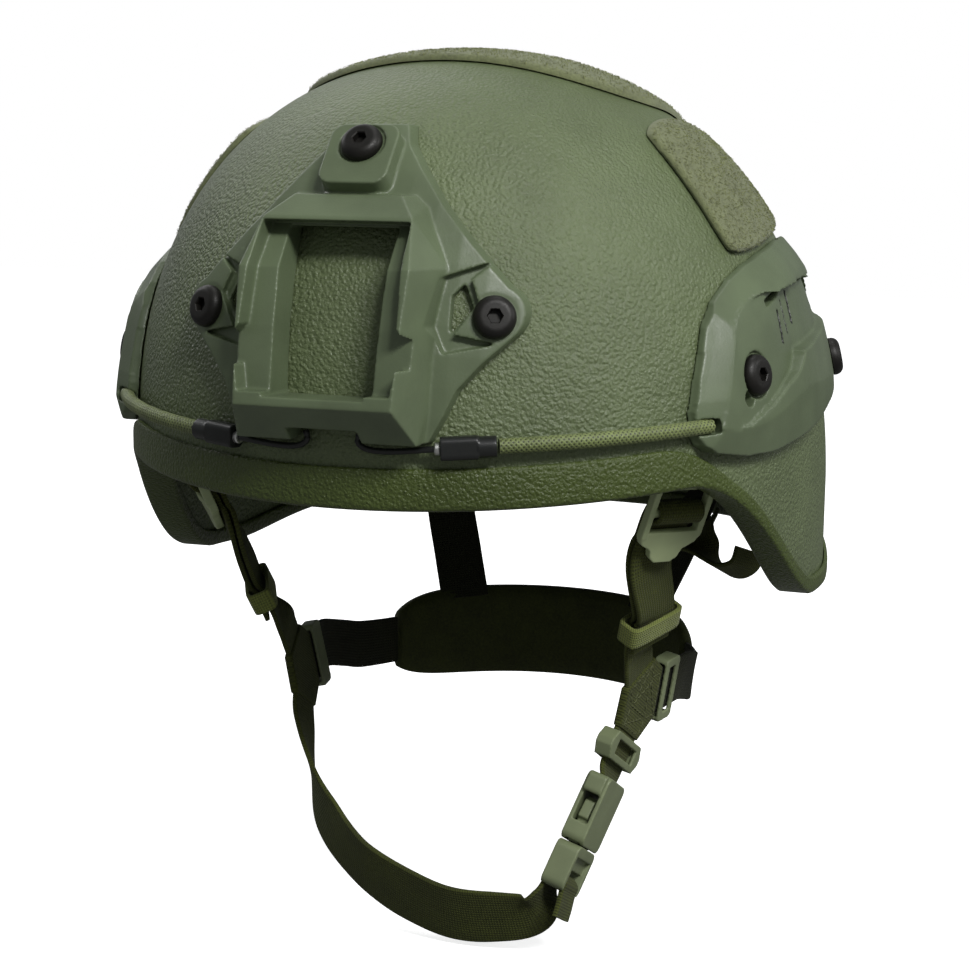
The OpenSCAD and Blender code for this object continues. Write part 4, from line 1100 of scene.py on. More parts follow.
class HELMET_OT_shell(bpy.types.Operator):
    """Makes the moulded laminate from the rim to the crown, and its edge trim"""

    bl_idname = "helmet.shell"
    bl_label = "Shell and edge trim"

    def execute(self, context):
        n = sizes().sides
        self.shell(n)
        self.trim(n)
        return {"FINISHED"}

    def shell(self, n):
        """Both skins of the laminate with n divisions round, joined at the rim."""

        def row(j, g):
            rise = math.sin(math.pi / 2 * (j / SHELL_ROWS))
            ring = []
            for i in range(n):
                t = 360 * i / n
                ring.append(on_shell(t, mix(edge_z(t) + TRIM_THICK, CROWN + g, rise), g))
            return ring

        rings = [row(j, -WALL) for j in reversed(range(SHELL_ROWS))] + [row(j, 0.0) for j in range(SHELL_ROWS)]
        points = [p for ring in rings for p in ring]
        faces = tube(len(rings), n)
        inside = len(points)
        points += [Vector((0, -CROWN_FORWARD, CROWN - WALL)), Vector((0, -CROWN_FORWARD, CROWN))]
        last = (len(rings) - 1) * n
        for j in range(n):
            k = (j + 1) % n
            faces.append((inside, k, j))
            faces.append((inside + 1, last + j, last + k))
        piece("shell_laminate", points, faces, "shell paint", ["shell"])

    def trim(self, n):
        """Rubber channel over the rim, with n divisions round."""
        lip, inn = TRIM_THICK, -WALL
        rings = []
        for i in range(n):
            t = 360 * i / n
            z = edge_z(t)
            top = z + trim_up(t) + 0.2 * noise.noise(Vector((i * 0.09, 3.1, 0)))
            seat = z + lip - SEAT_GAP
            # Distances from the shell and heights: up the outer face, down to the rim, and over the inner lip
            section = [(lip - 1.5, z), (lip - 0.55, z + 0.35), (lip - 0.12, z + 1.0), (lip, z + 2.0)]
            section += [(lip, top - 1.6), (lip - 0.1, top - 0.8), (lip - 0.45, top - 0.25), (lip - 1.0, top)]
            section += [(0.4, top - 0.05), (0.4, seat), (inn - 0.4, seat), (inn - 0.4, top - 0.1)]
            section += [(inn - 1.1, top), (inn - lip + 0.15, top - 0.5), (inn - lip, top - 1.5), (inn - lip, z + 1.8)]
            section += [(inn - lip + 0.25, z + 0.7), (inn - lip + 1.2, z)]
            rings.append([on_shell(t, height, g) for g, height in section])
        points, faces = loft(rings, True)
        piece("rim_channel", points, faces, "trim rubber", ["edge_trim"], sharp=60)


class HELMET_OT_fittings(bpy.types.Operator):
    """Makes the front shroud and the side rails as moulded pieces"""

    bl_idname = "helmet.fittings"
    bl_label = "Shroud and rails"

    def execute(self, context):
        softened("shroud", "fitting plastic", voxel=0.45, passes=5, keep=0.4)
        for side, word in SIDES:
            curved(word + "_rail", side, "rail plastic", voxel=0.45, passes=5, keep=0.35)
        return {"FINISHED"}


# Places of the bolts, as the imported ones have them: heights and width in millimetres, the rest angles in degrees
BOLT_LOW_Z = 62.0
BOLT_TOP_Z = 110.5
BOLT_ACROSS = 48.0
RAIL_BOLT_FRONT = 26.0
RAIL_BOLT_REAR = 22.0
RAIL_BOLT_Z = 43.0
REAR_BOLT_T = 62.0
REAR_BOLT_Z = 12.0
# Distances from the shell's outside of the faces that the heads sit on, and of a screw's tip
LOW_SEAT = 5.45
TOP_SEAT = 10.05
RAIL_SEAT = 5.15
REAR_SEAT = 0.3
SCREW_TIP = -16.0
# A screw: its head and thread, and the hexagon socket as radii and depths
HEAD_RADIUS = 7.0
HEAD_HEIGHT = 4.0
THREAD_RADIUS = 3.0
HEAD_BEVEL = 0.3
SOCKET = ((2.75, 0.0), (2.45, 0.3), (2.4, 2.5))
# Shares of the head: of its height that stands upright, of its radius that the dome curves in, and of both its top
HEAD_SIDE = 0.26
HEAD_DOME = 0.42
HEAD_TOP = (0.56, 0.995)


def bolt_frame(side, t, z):
    """Frame of a bolt on one side of the shell, with z out of it."""
    t = t if side > 0 else 180 - t
    return frame_at(on_shell(t, z), out_of(t, z))


class HELMET_OT_bolts(bpy.types.Operator):
    """Makes the button head bolts with their hexagon sockets, and dresses the nuts and plates"""

    bl_idname = "helmet.bolts"
    bl_label = "Bolts, nuts and plates"

    def execute(self, context):
        low = angle_at(BOLT_ACROSS, BOLT_LOW_Z)
        through_plate = SCREW_TIP - PLATE_THICK
        front = [(bolt_frame(s, low, BOLT_LOW_Z), LOW_SEAT, SCREW_TIP) for s in (-1, 1)]
        front.append((bolt_frame(1, -90, BOLT_TOP_Z), TOP_SEAT, SCREW_TIP))
        self.screws("shroud_bolts", front, "shroud_screws")
        sides = [(bolt_frame(s, -RAIL_BOLT_FRONT, RAIL_BOLT_Z), RAIL_SEAT, through_plate) for s in (-1, 1)]
        sides += [(bolt_frame(s, RAIL_BOLT_REAR, RAIL_BOLT_Z), RAIL_SEAT, SCREW_TIP) for s in (-1, 1)]
        self.screws("rail_bolts", sides, "rail_screws")
        rear = [(bolt_frame(s, REAR_BOLT_T, REAR_BOLT_Z), REAR_SEAT, through_plate) for s in (-1, 1)]
        self.screws("rear_bolts", rear, "rear_screws")
        for node in ("shroud_nuts", "rail_nuts", "rear_nuts", "anchor_plates"):
            dress(node, "zinc steel")
        return {"FINISHED"}

    def screws(self, name, places, node):
        """One piece of all the screws of a node, each given by its frame, its head's seat and its tip."""
        points, faces = [], []
        for place, seat, tip in places:
            more, quads = self.screw(seat, tip)
            first = len(points)
            points += [place @ p for p in more]
            faces += [tuple(first + k for k in f) for f in quads]
        piece(name, points, faces, "black bolt", [node], sharp=32)

    def screw(self, seat, tip):
        """Points and faces of a screw along z, with a domed head."""
        n = 60
        shape = [(THREAD_RADIUS, tip), (THREAD_RADIUS, seat), (HEAD_RADIUS - HEAD_BEVEL, seat)]
        shape += [(HEAD_RADIUS, seat + HEAD_BEVEL), (HEAD_RADIUS, seat + HEAD_HEIGHT * HEAD_SIDE)]
        for k in range(1, 9):
            a = math.pi / 2 * k / 9
            r = HEAD_RADIUS - (HEAD_RADIUS * HEAD_DOME) * (1 - math.cos(a))
            shape.append((r, seat + HEAD_HEIGHT * (HEAD_SIDE + (1 - HEAD_SIDE) * math.sin(a))))
        shape.append((HEAD_RADIUS * HEAD_TOP[0], seat + HEAD_HEIGHT * HEAD_TOP[1]))

        def hexagon(r, z):
            ring = []
            for a in around(n):
                wedge = (a % (math.pi / 3)) - math.pi / 6
                reach = r * math.cos(math.pi / 6) / math.cos(wedge)
                ring.append(Vector((reach * math.cos(a), reach * math.sin(a), z)))
            return ring

        rings = [circle(r, z, n) for r, z in shape]
        return loft(rings + [hexagon(r, seat + HEAD_HEIGHT - deep) for r, deep in SOCKET])


# Loop panels: corners as angles in degrees and heights in millimetres, from the lower front corner round
PANEL_THICK = 2.2
SIDE_CORNERS = ((-21.5, 82.5), (31, 98.5), (34, CROWN - 33), (-27.5, CROWN - 26.5))
SIDE_BOW = 8
REAR_CORNERS = ((72, 42), (108, 42), (108, 92), (72, 92))
# The crown panel's front and rear edges and its half width
CROWN_PANEL_Y = (-54.0, 66.0)
CROWN_PANEL_X = 68.0
# Divisions of a panel along and up, and how steeply its face rises from its cut edges; the crown panel's is the last
PANEL_GRID = (90, 36)
PANEL_EDGE = (70, 24)
CROWN_EDGE = 55
# Loops of yarn: how many stand on a panel and on the crown panel, and the thickness of their yarn
PANEL_LOOPS = 3600
CROWN_LOOPS = 7600
YARN_THICK = 0.09


def panel_height(p, rim):
    """Height over the shell of a panel's face at p, where rim runs from 0 at the cut edge to 1."""
    return SKIN_GAP + PANEL_THICK * (0.62 + 0.38 * math.sqrt(max(0.0, rim))) + 0.22 * noise.noise(p * 0.9) - 0.2


class HELMET_OT_panels(bpy.types.Operator):
    """Makes the loop fastener panels with their pile"""

    bl_idname = "helmet.panels"
    bl_label = "Loop panels"

    def execute(self, context):
        self.panel("left_loop", SIDE_CORNERS, SIDE_BOW, "left_panel", False)
        self.panel("right_loop", SIDE_CORNERS, SIDE_BOW, "right_panel", True)
        self.panel("rear_loop", REAR_CORNERS, 0, "rear_panel", False)
        self.crown()
        return {"FINISHED"}

    def panel(self, name, corners, bow, node, mirror):
        """Panel between four corners, whose upper edge rises by bow in its middle."""

        def at(s, r, g):
            (t0, z0), (t1, z1), (t2, z2), (t3, z3) = corners
            corner = 0.1 * (abs(2 * s - 1) ** 8) * (abs(2 * r - 1) ** 4)
            s, r = mix(s, 0.5, corner * 0.3), mix(r, 0.5, corner)
            top = mix(z3, z2, s) + bow * 4 * s * (1 - s)
            p = on_shell(mix(mix(t0, t1, s), mix(t3, t2, s), r), mix(mix(z0, z1, s), top, r), g)
            return mirrored(p) if mirror else p

        def face(s, r):
            along, up = PANEL_EDGE
            rim = min(s * along, (1 - s) * along, r * up, (1 - r) * up, 1.0)
            return at(s, r, panel_height(at(s, r, 0), rim))

        under = grid(*PANEL_GRID, lambda s, r: at(s, r, SKIN_GAP))
        points, faces = grid_slab(grid(*PANEL_GRID, face), under)
        piece(name, points, faces, "loop pile", [node], sharp=80)
        rng = random.Random(len(name) * 7 + (1 if mirror else 0))

        def spot():
            s, r = rng.random(), rng.random()
            return face(s, r), (at(s, r, 5) - at(s, r, 0)).normalized()

        self.pile(name + "_pile", spot, PANEL_LOOPS, rng)

    def crown(self):
        """Panel over the crown, a square with full round corners."""
        rings = 44
        y0, y1 = CROWN_PANEL_Y
        middle, half = (y0 + y1) / 2, (y1 - y0) / 2

        def at(k, a, g):
            r = ((abs(math.cos(a)) / CROWN_PANEL_X) ** 3 + (abs(math.sin(a)) / half) ** 3) ** (-1 / 3) * k
            return on_top(r * math.cos(a), middle + r * math.sin(a), g)

        def face(k, a):
            return at(k, a, panel_height(at(k, a, 0), min(1.0, (1 - k) * CROWN_EDGE)))

        outer = [[face(k / rings, a) for a in around(160)] for k in range(1, rings + 1)]
        under = [[at(k / rings, a, SKIN_GAP) for a in around(160)] for k in range(rings, 0, -4)]
        points, faces = loft(outer + under)
        piece("crown_loop", points, faces, "loop pile", ["crown_panel"], sharp=80)
        rng = random.Random(5)

        def spot():
            k, a = math.sqrt(rng.random()), rng.random() * 2 * math.pi
            return face(k, a), (at(k, a, 5) - at(k, a, 0)).normalized()

        self.pile("crown_loop_pile", spot, CROWN_LOOPS, rng)

    def pile(self, name, spot, count, rng):
        """Short curled loops of yarn standing on a panel."""
        points, faces = [], []
        thick = YARN_THICK
        for _ in range(count):
            base, out = spot()
            side = out.orthogonal().normalized()
            side.rotate(Matrix.Rotation(rng.random() * 2 * math.pi, 3, out))
            tall = sizes().pile * (0.55 + 0.6 * rng.random())
            wide = 0.5 + 0.7 * rng.random()
            path = [base - side * wide * 0.5 - out * 0.3, base - side * wide * 0.4 + out * tall * 0.7]
            path += [base + out * tall, base + side * wide * 0.45 + out * tall * 0.5]
            across = out.cross(side)
            faces += tube(len(path), 3, len(points))
            for p in path:
                low = p - across * thick * 0.5
                points += [p + across * thick, low + side * thick, low - side * thick]
        # The loops take the lighter copy of the pile's colour: painted light.
        piece(name, points, faces, "loop tips with painted light", [], sharp=180, body="helmet")


# Harness, in millimetres: widths of the webbing, of the chin cup and of the loose tail, distance between the middles
# of a strap and the tail on it, distance of a junction's ports from its middle, and how far straps go in there
WEB = 20.0
CUP = 25.0
TAIL = 17.0
LAYER = 2.6
PORT = 13.0
TUCK = 1.5
# The left junction, and the ways to its ports in its own frame
JOINT_AT = Vector((67.5, -18, -80))
SIDE_OUT = unit((0.96, -0.15, -0.2))
CHIN_DOWN = unit((-11, -21, -44))
JOINT_FRAME = frame_at(JOINT_AT, SIDE_OUT, -CHIN_DOWN)
TO_FRONT = unit((-0.8, 0.6, 0))
TO_NAPE = unit((0.85, 0.53, 0))
TO_CHIN = Vector((0, -1, 0))
PORTS = (TO_NAPE, TO_FRONT, TO_CHIN)
# The left adjuster and keeper, the buckle, and the left end of the nape pad
TEMPLE_OUT = unit((0.82, -0.57, 0))
ADJUST_DOWN = unit((-7.5, 5, -19.5))
ADJUST_FRAME = flat_frame((91.5, -60, -4), ADJUST_DOWN, TEMPLE_OUT)
KEEPER_OUT = unit((0.85, -0.45, -0.05))
KEEPER_FRAME = flat_frame((75.2, -36.5, -46.8), (-6, 10, -20), KEEPER_OUT)
BUCKLE_TOP = JOINT_AT + CHIN_DOWN * 31
BUCKLE_DOWN = unit((-14, -19, -43))
BUCKLE_OUT = unit((0.93, -0.05, -0.3))
BUCKLE_FRAME = flat_frame(BUCKLE_TOP, BUCKLE_DOWN, BUCKLE_OUT)
NAPE_END = Vector((62, 64, -82.5))
# Distance from the shell's outside of the inner face of an anchor plate, and of the middle of the strap on it
PLATE_SEAT = -WALL - SKIN_GAP - 0.3 - PLATE_THICK - 0.5
STRAP_LIE = PLATE_SEAT - SEAT_GAP - 0.9 - 0.9
# Half of a junction's section, from the middle of a face to its rim: scale of the outline, and height
JUNCTION_HALF = ((0.02, 1.35), (0.5, 1.4), (0.86, 1.5), (0.95, 1.6), (0.985, 1.3), (1.0, 0.6))
# A stitch, in millimetres: its length, the gap after it, the radius of its thread, and the lift along it
STITCH_LONG = 2.3
STITCH_GAP = 0.7
THREAD_THICK = 0.24
STITCH_ARCH = ((0.0, -0.2), (0.16, 0.1), (0.5, 0.2), (0.84, 0.1), (1.0, -0.2))
# Section of a keeper band: place along the strap, and distance in from its outer face
KEEPER_OUTSIDE = ((-4.25, 0.35), (-4.0, 0.05), (-3.2, 0.0), (3.2, 0.0), (4.0, 0.05), (4.25, 0.35))
KEEPER_INSIDE = ((4.25, 0.9), (4.0, 1.35), (-4.0, 1.35), (-4.25, 0.9))
KEEPER_HIGH = 4.8


def port_point(way, d):
    """Point at distance d from the middle of the left junction, by way of one of its ports."""
    return JOINT_FRAME @ (way * d)


class HELMET_OT_harness(bpy.types.Operator):
    """Makes the webbing of the harness, the chin strap, the keepers and the sewn junctions"""

    bl_idname = "helmet.harness"
    bl_label = "Harness webbing"

    def execute(self, context):
        for side, word in SIDES:
            self.anchor_strap(side, word)
            self.front_strap(side, word)
            self.rear_strap(side, word)
            self.nape_strap(side, word)
            self.junction(side, word)
            self.keeper(side, word)
        self.rear_tail()
        self.buckle_strap()
        self.chin_strap()
        return {"FINISHED"}

    def strap(self, name, points, faces, widths, finish_name, node, side=1, steps=14, between=None):
        """Webbing by the points of the left side, or its mirror image on the right."""
        ribbon(name, on_side(points, side), on_side(faces, side), widths, finish_name, [node], steps, between)

    def anchor_strap(self, side, word):
        """Dark strap from the plate under the front rail bolt to the adjuster's upper bar."""
        out = out_of(-RAIL_BOLT_FRONT, RAIL_BOLT_Z)
        bolt = frame_at(on_shell(-RAIL_BOLT_FRONT, RAIL_BOLT_Z), out)
        points = [bolt @ Vector((0, -11, STRAP_LIE - 1.1)), bolt @ Vector((0, -19.5, STRAP_LIE - 2.2))]
        points += [ADJUST_FRAME @ Vector(p) for p in ((0, 20, -1), (0, 16.4, -0.3), (0, 12.8, 0))]
        faces = [out] * 2 + [TEMPLE_OUT] * 3
        self.strap(word + "_anchor_web", points, faces, [WEB] * 5, "dark webbing", word + "_anchor_strap", side)

    def front_strap(self, side, word):
        """Strap whose tail comes up from the keeper, turns round the adjuster's lower bar and runs to the junction."""
        wrap = [(-24, -3), (-12, -3.1), (-6.8, -2.9), (-4.2, -0.4), (-2.5, 2.2), (0.3, 3.1), (2.6, 1.8)]
        wrap += [(3.1, -0.9), (1.2, -4.2), (-4, -5.6), (-13, -5.6), (-24, -5.6)]
        points = [KEEPER_FRAME @ Vector((0, y, z)) for y, z in ((-9, LAYER + 0.3), (0, LAYER), (8, LAYER))]
        points += [ADJUST_FRAME @ Vector((0, y, z)) for y, z in wrap]
        points += [KEEPER_FRAME @ Vector((0, y, 0)) for y in (8, 0, -9)]
        points += [port_point(TO_FRONT, d) for d in (22, 17.5, PORT - TUCK)]
        faces = [KEEPER_OUT] * 3 + [TEMPLE_OUT] * 5
        faces += [unit(TEMPLE_OUT - ADJUST_DOWN), -ADJUST_DOWN, unit(-TEMPLE_OUT - ADJUST_DOWN)]
        faces += [-TEMPLE_OUT] * 4 + [-KEEPER_OUT] * 3 + [-SIDE_OUT] * 3
        widths = [WEB - 1] * len(points)
        self.strap(word + "_front_web", points, faces, widths, "webbing", word + "_front_strap", side, steps=8)

    def rear_strap(self, side, word):
        """Dark strap from the rear plate down into the nape pad."""
        out = out_of(REAR_BOLT_T, REAR_BOLT_Z)
        bolt = frame_at(on_shell(REAR_BOLT_T, REAR_BOLT_Z), out)
        points = [bolt @ Vector((0, -11, STRAP_LIE - 1.1)), bolt @ Vector((0, -19.5, STRAP_LIE - 2))]
        points += [(53, 98, -28), (46, 90, -48), (39.2, 81.9, -66)]
        faces = [out] * 2 + [unit((0.5, 0.86, 0.05))] * 3
        self.strap(word + "_rear_web", points, faces, [WEB] * 5, "dark webbing", word + "_rear_strap", side)

    def nape_strap(self, side, word):
        """Dark strap from the end of the nape pad, through the slider, to the junction."""
        points = [NAPE_END + Vector((0.5, -0.5, 0)), (66.5, 55, -82.6), (70.3, 43, -81.8), (72.6, 31, -79.4)]
        points += [port_point(TO_NAPE, d) for d in (35, 24, PORT - TUCK)]
        faces = [(0.87, 0.49, 0), (0.92, 0.37, -0.05), (0.98, 0.18, -0.12), (0.98, 0, -0.18)]
        faces = [unit(f) for f in faces] + [SIDE_OUT] * 3
        self.strap(word + "_nape_web", points, faces, [WEB - 1] * 7, "dark webbing", word + "_nape_strap", side)

    def junction(self, side, word):
        """Sewn panel where three straps meet, with a soft face, a turned edge and boxes of stitches."""
        corners, threads = [], []
        for way in PORTS:
            across = Vector((-way.y, way.x, 0))
            corners += [way * PORT + across * e * (WEB / 2 + 0.3) for e in (-1, 1)]
            reach = across * (WEB / 2 - 1.8)
            near, far = way * (PORT - 1.6), way * (PORT - 9.0)
            threads += [(near - reach, near + reach), (far - reach, far + reach)]
            threads += [(near - reach, far - reach), (near + reach, far + reach), (near - reach, far + reach)]
        outline = [mix(a, b, s / 8) for a, b in zip(corners, corners[1:] + corners[:1]) for s in range(8)]
        rings, uv = [], []
        for scale, z in [(scale, -z) for scale, z in JUNCTION_HALF] + list(reversed(JUNCTION_HALF)):
            rings.append(on_side([JOINT_FRAME @ Vector((p.x * scale, p.y * scale, z)) for p in outline], side))
            uv += [(p.y * scale, p.x * scale) for p in outline]
        points, faces = loft(rings)
        piece(word + "_junction_panel", points, faces, "webbing", [word + "_junction"], uv, 55)
        self.stitches(word + "_junction_thread", threads, JOINT_FRAME @ Matrix.Translation((0, 0, 1.42)), side)

    def stitches(self, name, lines, place, side):
        """Rows of thread that dip into the webbing between one stitch and the next."""
        points, faces = [], []
        step = STITCH_LONG + STITCH_GAP
        for a, b in lines:
            way = (b - a).normalized()
            across = way.cross(UP)
            for k in range(max(1, int((b - a).length / step))):
                start = a + way * (k * step + STITCH_GAP / 2)
                faces += tube(len(STITCH_ARCH), 6, len(points))
                for s, lift in STITCH_ARCH:
                    middle = start + way * (STITCH_LONG * s) + Vector((0, 0, lift))
                    for j in range(6):
                        turn = math.pi / 3 * j
                        spoke = across * math.cos(turn) * THREAD_THICK
                        points.append(place @ (middle + spoke + UP * math.sin(turn) * THREAD_THICK))
        piece(name, on_side(points, side), faces, "thread", [], sharp=180, body="helmet")

    def keeper(self, side, word):
        """Band of elastic round the strap and its tail."""
        wide = WEB / 2 + 2.5
        outline = []
        for a in around(64):
            c, s = math.cos(a), math.sin(a)
            k = (abs(c) ** 6 + abs(s) ** 6) ** (-1 / 6)
            outline.append((c * k, s * k))
        rings = []
        for y, depth in KEEPER_OUTSIDE + KEEPER_INSIDE:
            rings.append([(x * (wide - depth), y, z * (KEEPER_HIGH - depth)) for x, z in outline])
        place = KEEPER_FRAME @ Matrix.Translation((0, 0, LAYER / 2))
        points, faces = loft([on_side([place @ Vector(p) for p in ring], side) for ring in rings], True)
        uv = [(x + z, y) for ring in rings for x, y, z in ring]
        piece(word + "_keeper_band", points, faces, "pale webbing", [word + "_keeper"], uv, 50)

    def rear_tail(self):
        """Loose end of the left rear strap, curled forward under the shell."""
        points = [(63.8, 92.6, -26.3), (60.5, 86, -32), (62, 79, -37.5), (70, 71.5, -42)]
        points += [(78, 66, -43.5), (84.5, 63.5, -40.5), (86.5, 64.5, -34.5)]
        faces = [(0.85, 0.5, 0), (0.5, 0.1, -0.7), (0.25, -0.35, -0.9), (0.21, -0.56, -0.8)]
        faces += [(0.32, -0.55, -0.75), (0.65, -0.5, -0.5), (0.85, -0.5, -0.1)]
        self.strap("left_tail_web", points, [unit(f) for f in faces], [TAIL] * 7, "webbing", "left_rear_tail")

    def buckle_strap(self):
        """Short strap from the left junction to the buckle's socket."""
        points = [port_point(TO_CHIN, PORT - TUCK), port_point(TO_CHIN, PORT + 13), BUCKLE_TOP + BUCKLE_DOWN * 1.0]
        self.strap("buckle_web", points, [SIDE_OUT, SIDE_OUT, BUCKLE_OUT], [WEB] * 3, "webbing", "buckle_strap")

    def chin_strap(self):
        """Strap that turns round the plug's bar, widens under the chin and runs up to the right junction."""
        loop = [(-52.5, 5.2), (-48.5, 4.6), (-43.4, 3.6), (-40.2, 3.4)]
        loop += [(-38.0, 0.0), (-40.2, -3.4), (-43.4, -3.6), (-47.5, -3.2)]
        points = [BUCKLE_FRAME @ Vector((0, y, z)) for y, z in loop]
        points += [(40.5, -51.5, -154), (27.4, -53.5, -156.5), (8.8, -54, -157), (-12.2, -51, -152)]
        points += [(-30, -46.5, -144.4), (-46, -40, -131.5), (-55.5, -34, -115)]
        points += [mirrored(port_point(TO_CHIN, PORT + 9)), mirrored(port_point(TO_CHIN, PORT - TUCK))]
        faces = [BUCKLE_OUT] * 3 + [BUCKLE_OUT - BUCKLE_DOWN, -BUCKLE_DOWN, -BUCKLE_OUT - BUCKLE_DOWN, -BUCKLE_OUT]
        outer = [(0.9, -0.25, -0.32), (0.62, -0.68, -0.38), (0.3, -0.86, -0.4), (0, -0.9, -0.43), (-0.15, -0.9, -0.4)]
        outer += [(-0.35, -0.85, -0.4), (-0.5, -0.8, -0.3), (-0.9, -0.4, -0.1), mirrored(SIDE_OUT), mirrored(SIDE_OUT)]
        faces += [-Vector(f) for f in outer]
        widths = [WEB] * 8 + [WEB + 1, CUP - 2] + [CUP] * 3 + [CUP - 1] + [WEB] * 3
        across = ("helmet", "chin", mirrored(port_point(TO_CHIN, PORT + 6)), Vector((16, -54, -157)))
        self.strap("chin_web", points, [unit(f) for f in faces], widths, "webbing", "chin_strap", between=across)


class HELMET_OT_hardware(bpy.types.Operator):
    """Makes the buckle, adjusters, sliders and strap lock as moulded pieces"""

    bl_idname = "helmet.hardware"
    bl_label = "Buckle and adjusters"

    def execute(self, context):
        for _, word in SIDES:
            softened(word + "_adjuster", "pale plastic", voxel=0.35, passes=5)
            softened(word + "_slider", "hardware plastic", voxel=0.35, passes=5)
        for node in ("strap_lock", "buckle_socket", "buckle_plug", "front_spring_arm", "rear_spring_arm"):
            softened(node, "hardware plastic", voxel=0.3, passes=9)
        return {"FINISHED"}


# Pads, in millimetres: their depth, and what it is at their edges before the cover draws them in
PAD_THICK = 19.0
PAD_EDGE = 7.0
PAD_DRAWN = 0.7
DISC_THICK = 1.4
PAD_OUT = -WALL - SKIN_GAP - DISC_THICK - SEAT_GAP - 0.2
# Middle angle and half span in degrees, middle height and half height, and whether the pad is on the right
PADS = {
    "front_pad": (-90, 21, 33, 19, False),
    "rear_pad": (90, 22, 24, 20, False),
    "left_front_pad": (-50, 15, 78, 20, False),
    "left_rear_pad": (46, 17, 62, 24, False),
    "right_front_pad": (-50, 15, 78, 20, True),
    "right_rear_pad": (46, 17, 62, 24, True),
}
# Divisions of a pad along and up, and the round pad: its radius and the y of its middle
PAD_GRID = (56, 40)
CROWN_PAD_RADIUS = 56.0
CROWN_PAD_MIDDLE = -12.0
# The nape pad: the middle of its rear, half of the arc that it follows in degrees, its height and its thickness
NAPE_MIDDLE = Vector((0, 96, -79))
NAPE_SPAN = 62.0
NAPE_HIGH = 37.0
NAPE_THICK = 9.0


class HELMET_OT_pads(bpy.types.Operator):
    """Makes the comfort pads and the nape pad, and dresses the hook discs"""

    bl_idname = "helmet.pads"
    bl_label = "Pads"

    def execute(self, context):
        for name, place in PADS.items():
            self.pad(name, *place)
        self.crown_pad()
        self.nape_pad()
        dress("hook_discs", "hook tape")
        return {"FINISHED"}

    def depth(self, s, r):
        """Depth of the cushion: crowned, drawn in at its sides, with a sewn channel across."""
        crown = ((1 - abs(s) ** 4) * (1 - abs(r) ** 4)) ** 0.6
        channel = 0.86 + 0.14 * min(1.0, abs(s) * 9)
        return mix(PAD_EDGE * PAD_DRAWN, PAD_THICK * channel, crown)

    def pad(self, name, t, half_t, z, half_z, mirror):
        """Cushion round a middle angle and height, as the table gives them."""

        def at(s, r, deep):
            s, r = 2 * s - 1, 2 * r - 1
            k = 1 - 0.12 * s * s * r * r
            g = PAD_OUT - self.depth(s, r) - 0.25 * noise.noise(Vector((s * 5, r * 5, t))) if deep else PAD_OUT
            p = on_shell(t + half_t * s * k, z + half_z * r * k, g)
            return mirrored(p) if mirror else p

        outside = grid(*PAD_GRID, lambda s, r: at(s, r, False))
        inside = grid(*PAD_GRID, lambda s, r: at(s, r, True))
        points, faces = grid_slab(outside, inside)
        obj = piece(name + "_cushion", points, faces, "pad cover", [name], sharp=70)

    def crown_pad(self):
        """Round cushion under the crown, with a sewn ring."""
        rings = 24

        def ring(k, deep):
            r = CROWN_PAD_RADIUS * k / rings
            depth = mix(PAD_EDGE * PAD_DRAWN, PAD_THICK, max(0.0, 1 - (k / rings) ** 4) ** 0.6)
            depth *= 1 - 0.1 * math.exp(-(((k / rings - 0.55) / 0.06) ** 2))
            g = PAD_OUT - depth if deep else PAD_OUT
            return [on_top(r * math.cos(a), CROWN_PAD_MIDDLE + r * math.sin(a), g) for a in around(96)]

        rows = [ring(k, False) for k in range(1, rings + 1)] + [ring(k, True) for k in range(rings, 0, -1)]
        points, faces = loft(rows)
        obj = piece("crown_pad_cushion", points, faces, "pad cover", ["crown_pad"], sharp=70)

    def nape_pad(self):
        """Cushion bent round the back of the head, with a seam near its upper and lower edges."""
        n = 90
        rings = []
        for i in range(n + 1):
            s = 2 * i / n - 1
            a, end = math.radians(s * NAPE_SPAN), math.radians(NAPE_SPAN)
            x = NAPE_END.x * math.sin(a) / math.sin(end)
            y = mix(NAPE_MIDDLE.y, NAPE_END.y, (1 - math.cos(a)) / (1 - math.cos(end)))
            middle = Vector((x, y, mix(NAPE_MIDDLE.z, NAPE_END.z, s * s)))
            out = Vector((math.sin(a), math.cos(a), 0))
            full = (1 - abs(s) ** 6 * 0.6) ** 0.5
            ring = []
            for b in around(48):
                c, d = math.cos(b), math.sin(b)
                thick = NAPE_THICK / 2 * (1 - 0.16 * math.exp(-(((abs(d) - 0.86) / 0.05) ** 2)))
                thick += 0.25 * noise.noise(Vector((s * 9, b * 1.5, 0)))
                ring.append(
                    middle
                    + out * thick * full * math.copysign(abs(c) ** 0.7, c)
                    + UP * (NAPE_HIGH / 2) * full * math.copysign(abs(d) ** 0.6, d)
                )
            rings.append(ring)
        points, faces = loft(rings)
        obj = piece("nape_cushion", points, faces, "nape cover", ["nape_pad"], sharp=70)


# Bungees: angles in degrees where a cord leaves its rail and enters its connector, and sizes in millimetres
CORD_FROM = 36.0
CORD_STOPS = (44, 52, 60)
CORD_END = 0.25
CORD_HEIGHTS = (28, 22.8)
CORD_WIDE = 5.0
CORD_LIFT = SKIN_GAP + CORD_WIDE / 2 + 1.1
YARN_HIGH = 0.14
CONNECTOR_FROM = 68.0
CONNECTOR_SPAN = 7
CONNECTOR_MIDDLE = (4, 24)
CONNECTOR_LONG = 18.0
WIRE_WIDE = 2.2
# Radii of the sleeve where the wire leaves the connector, and their places along the wire
FERRULE = ((WIRE_WIDE / 2, 0.0), (1.9, 0.0), (2.15, 0.3), (2.15, 1.5), (1.8, 1.9), (WIRE_WIDE / 2, 1.9))


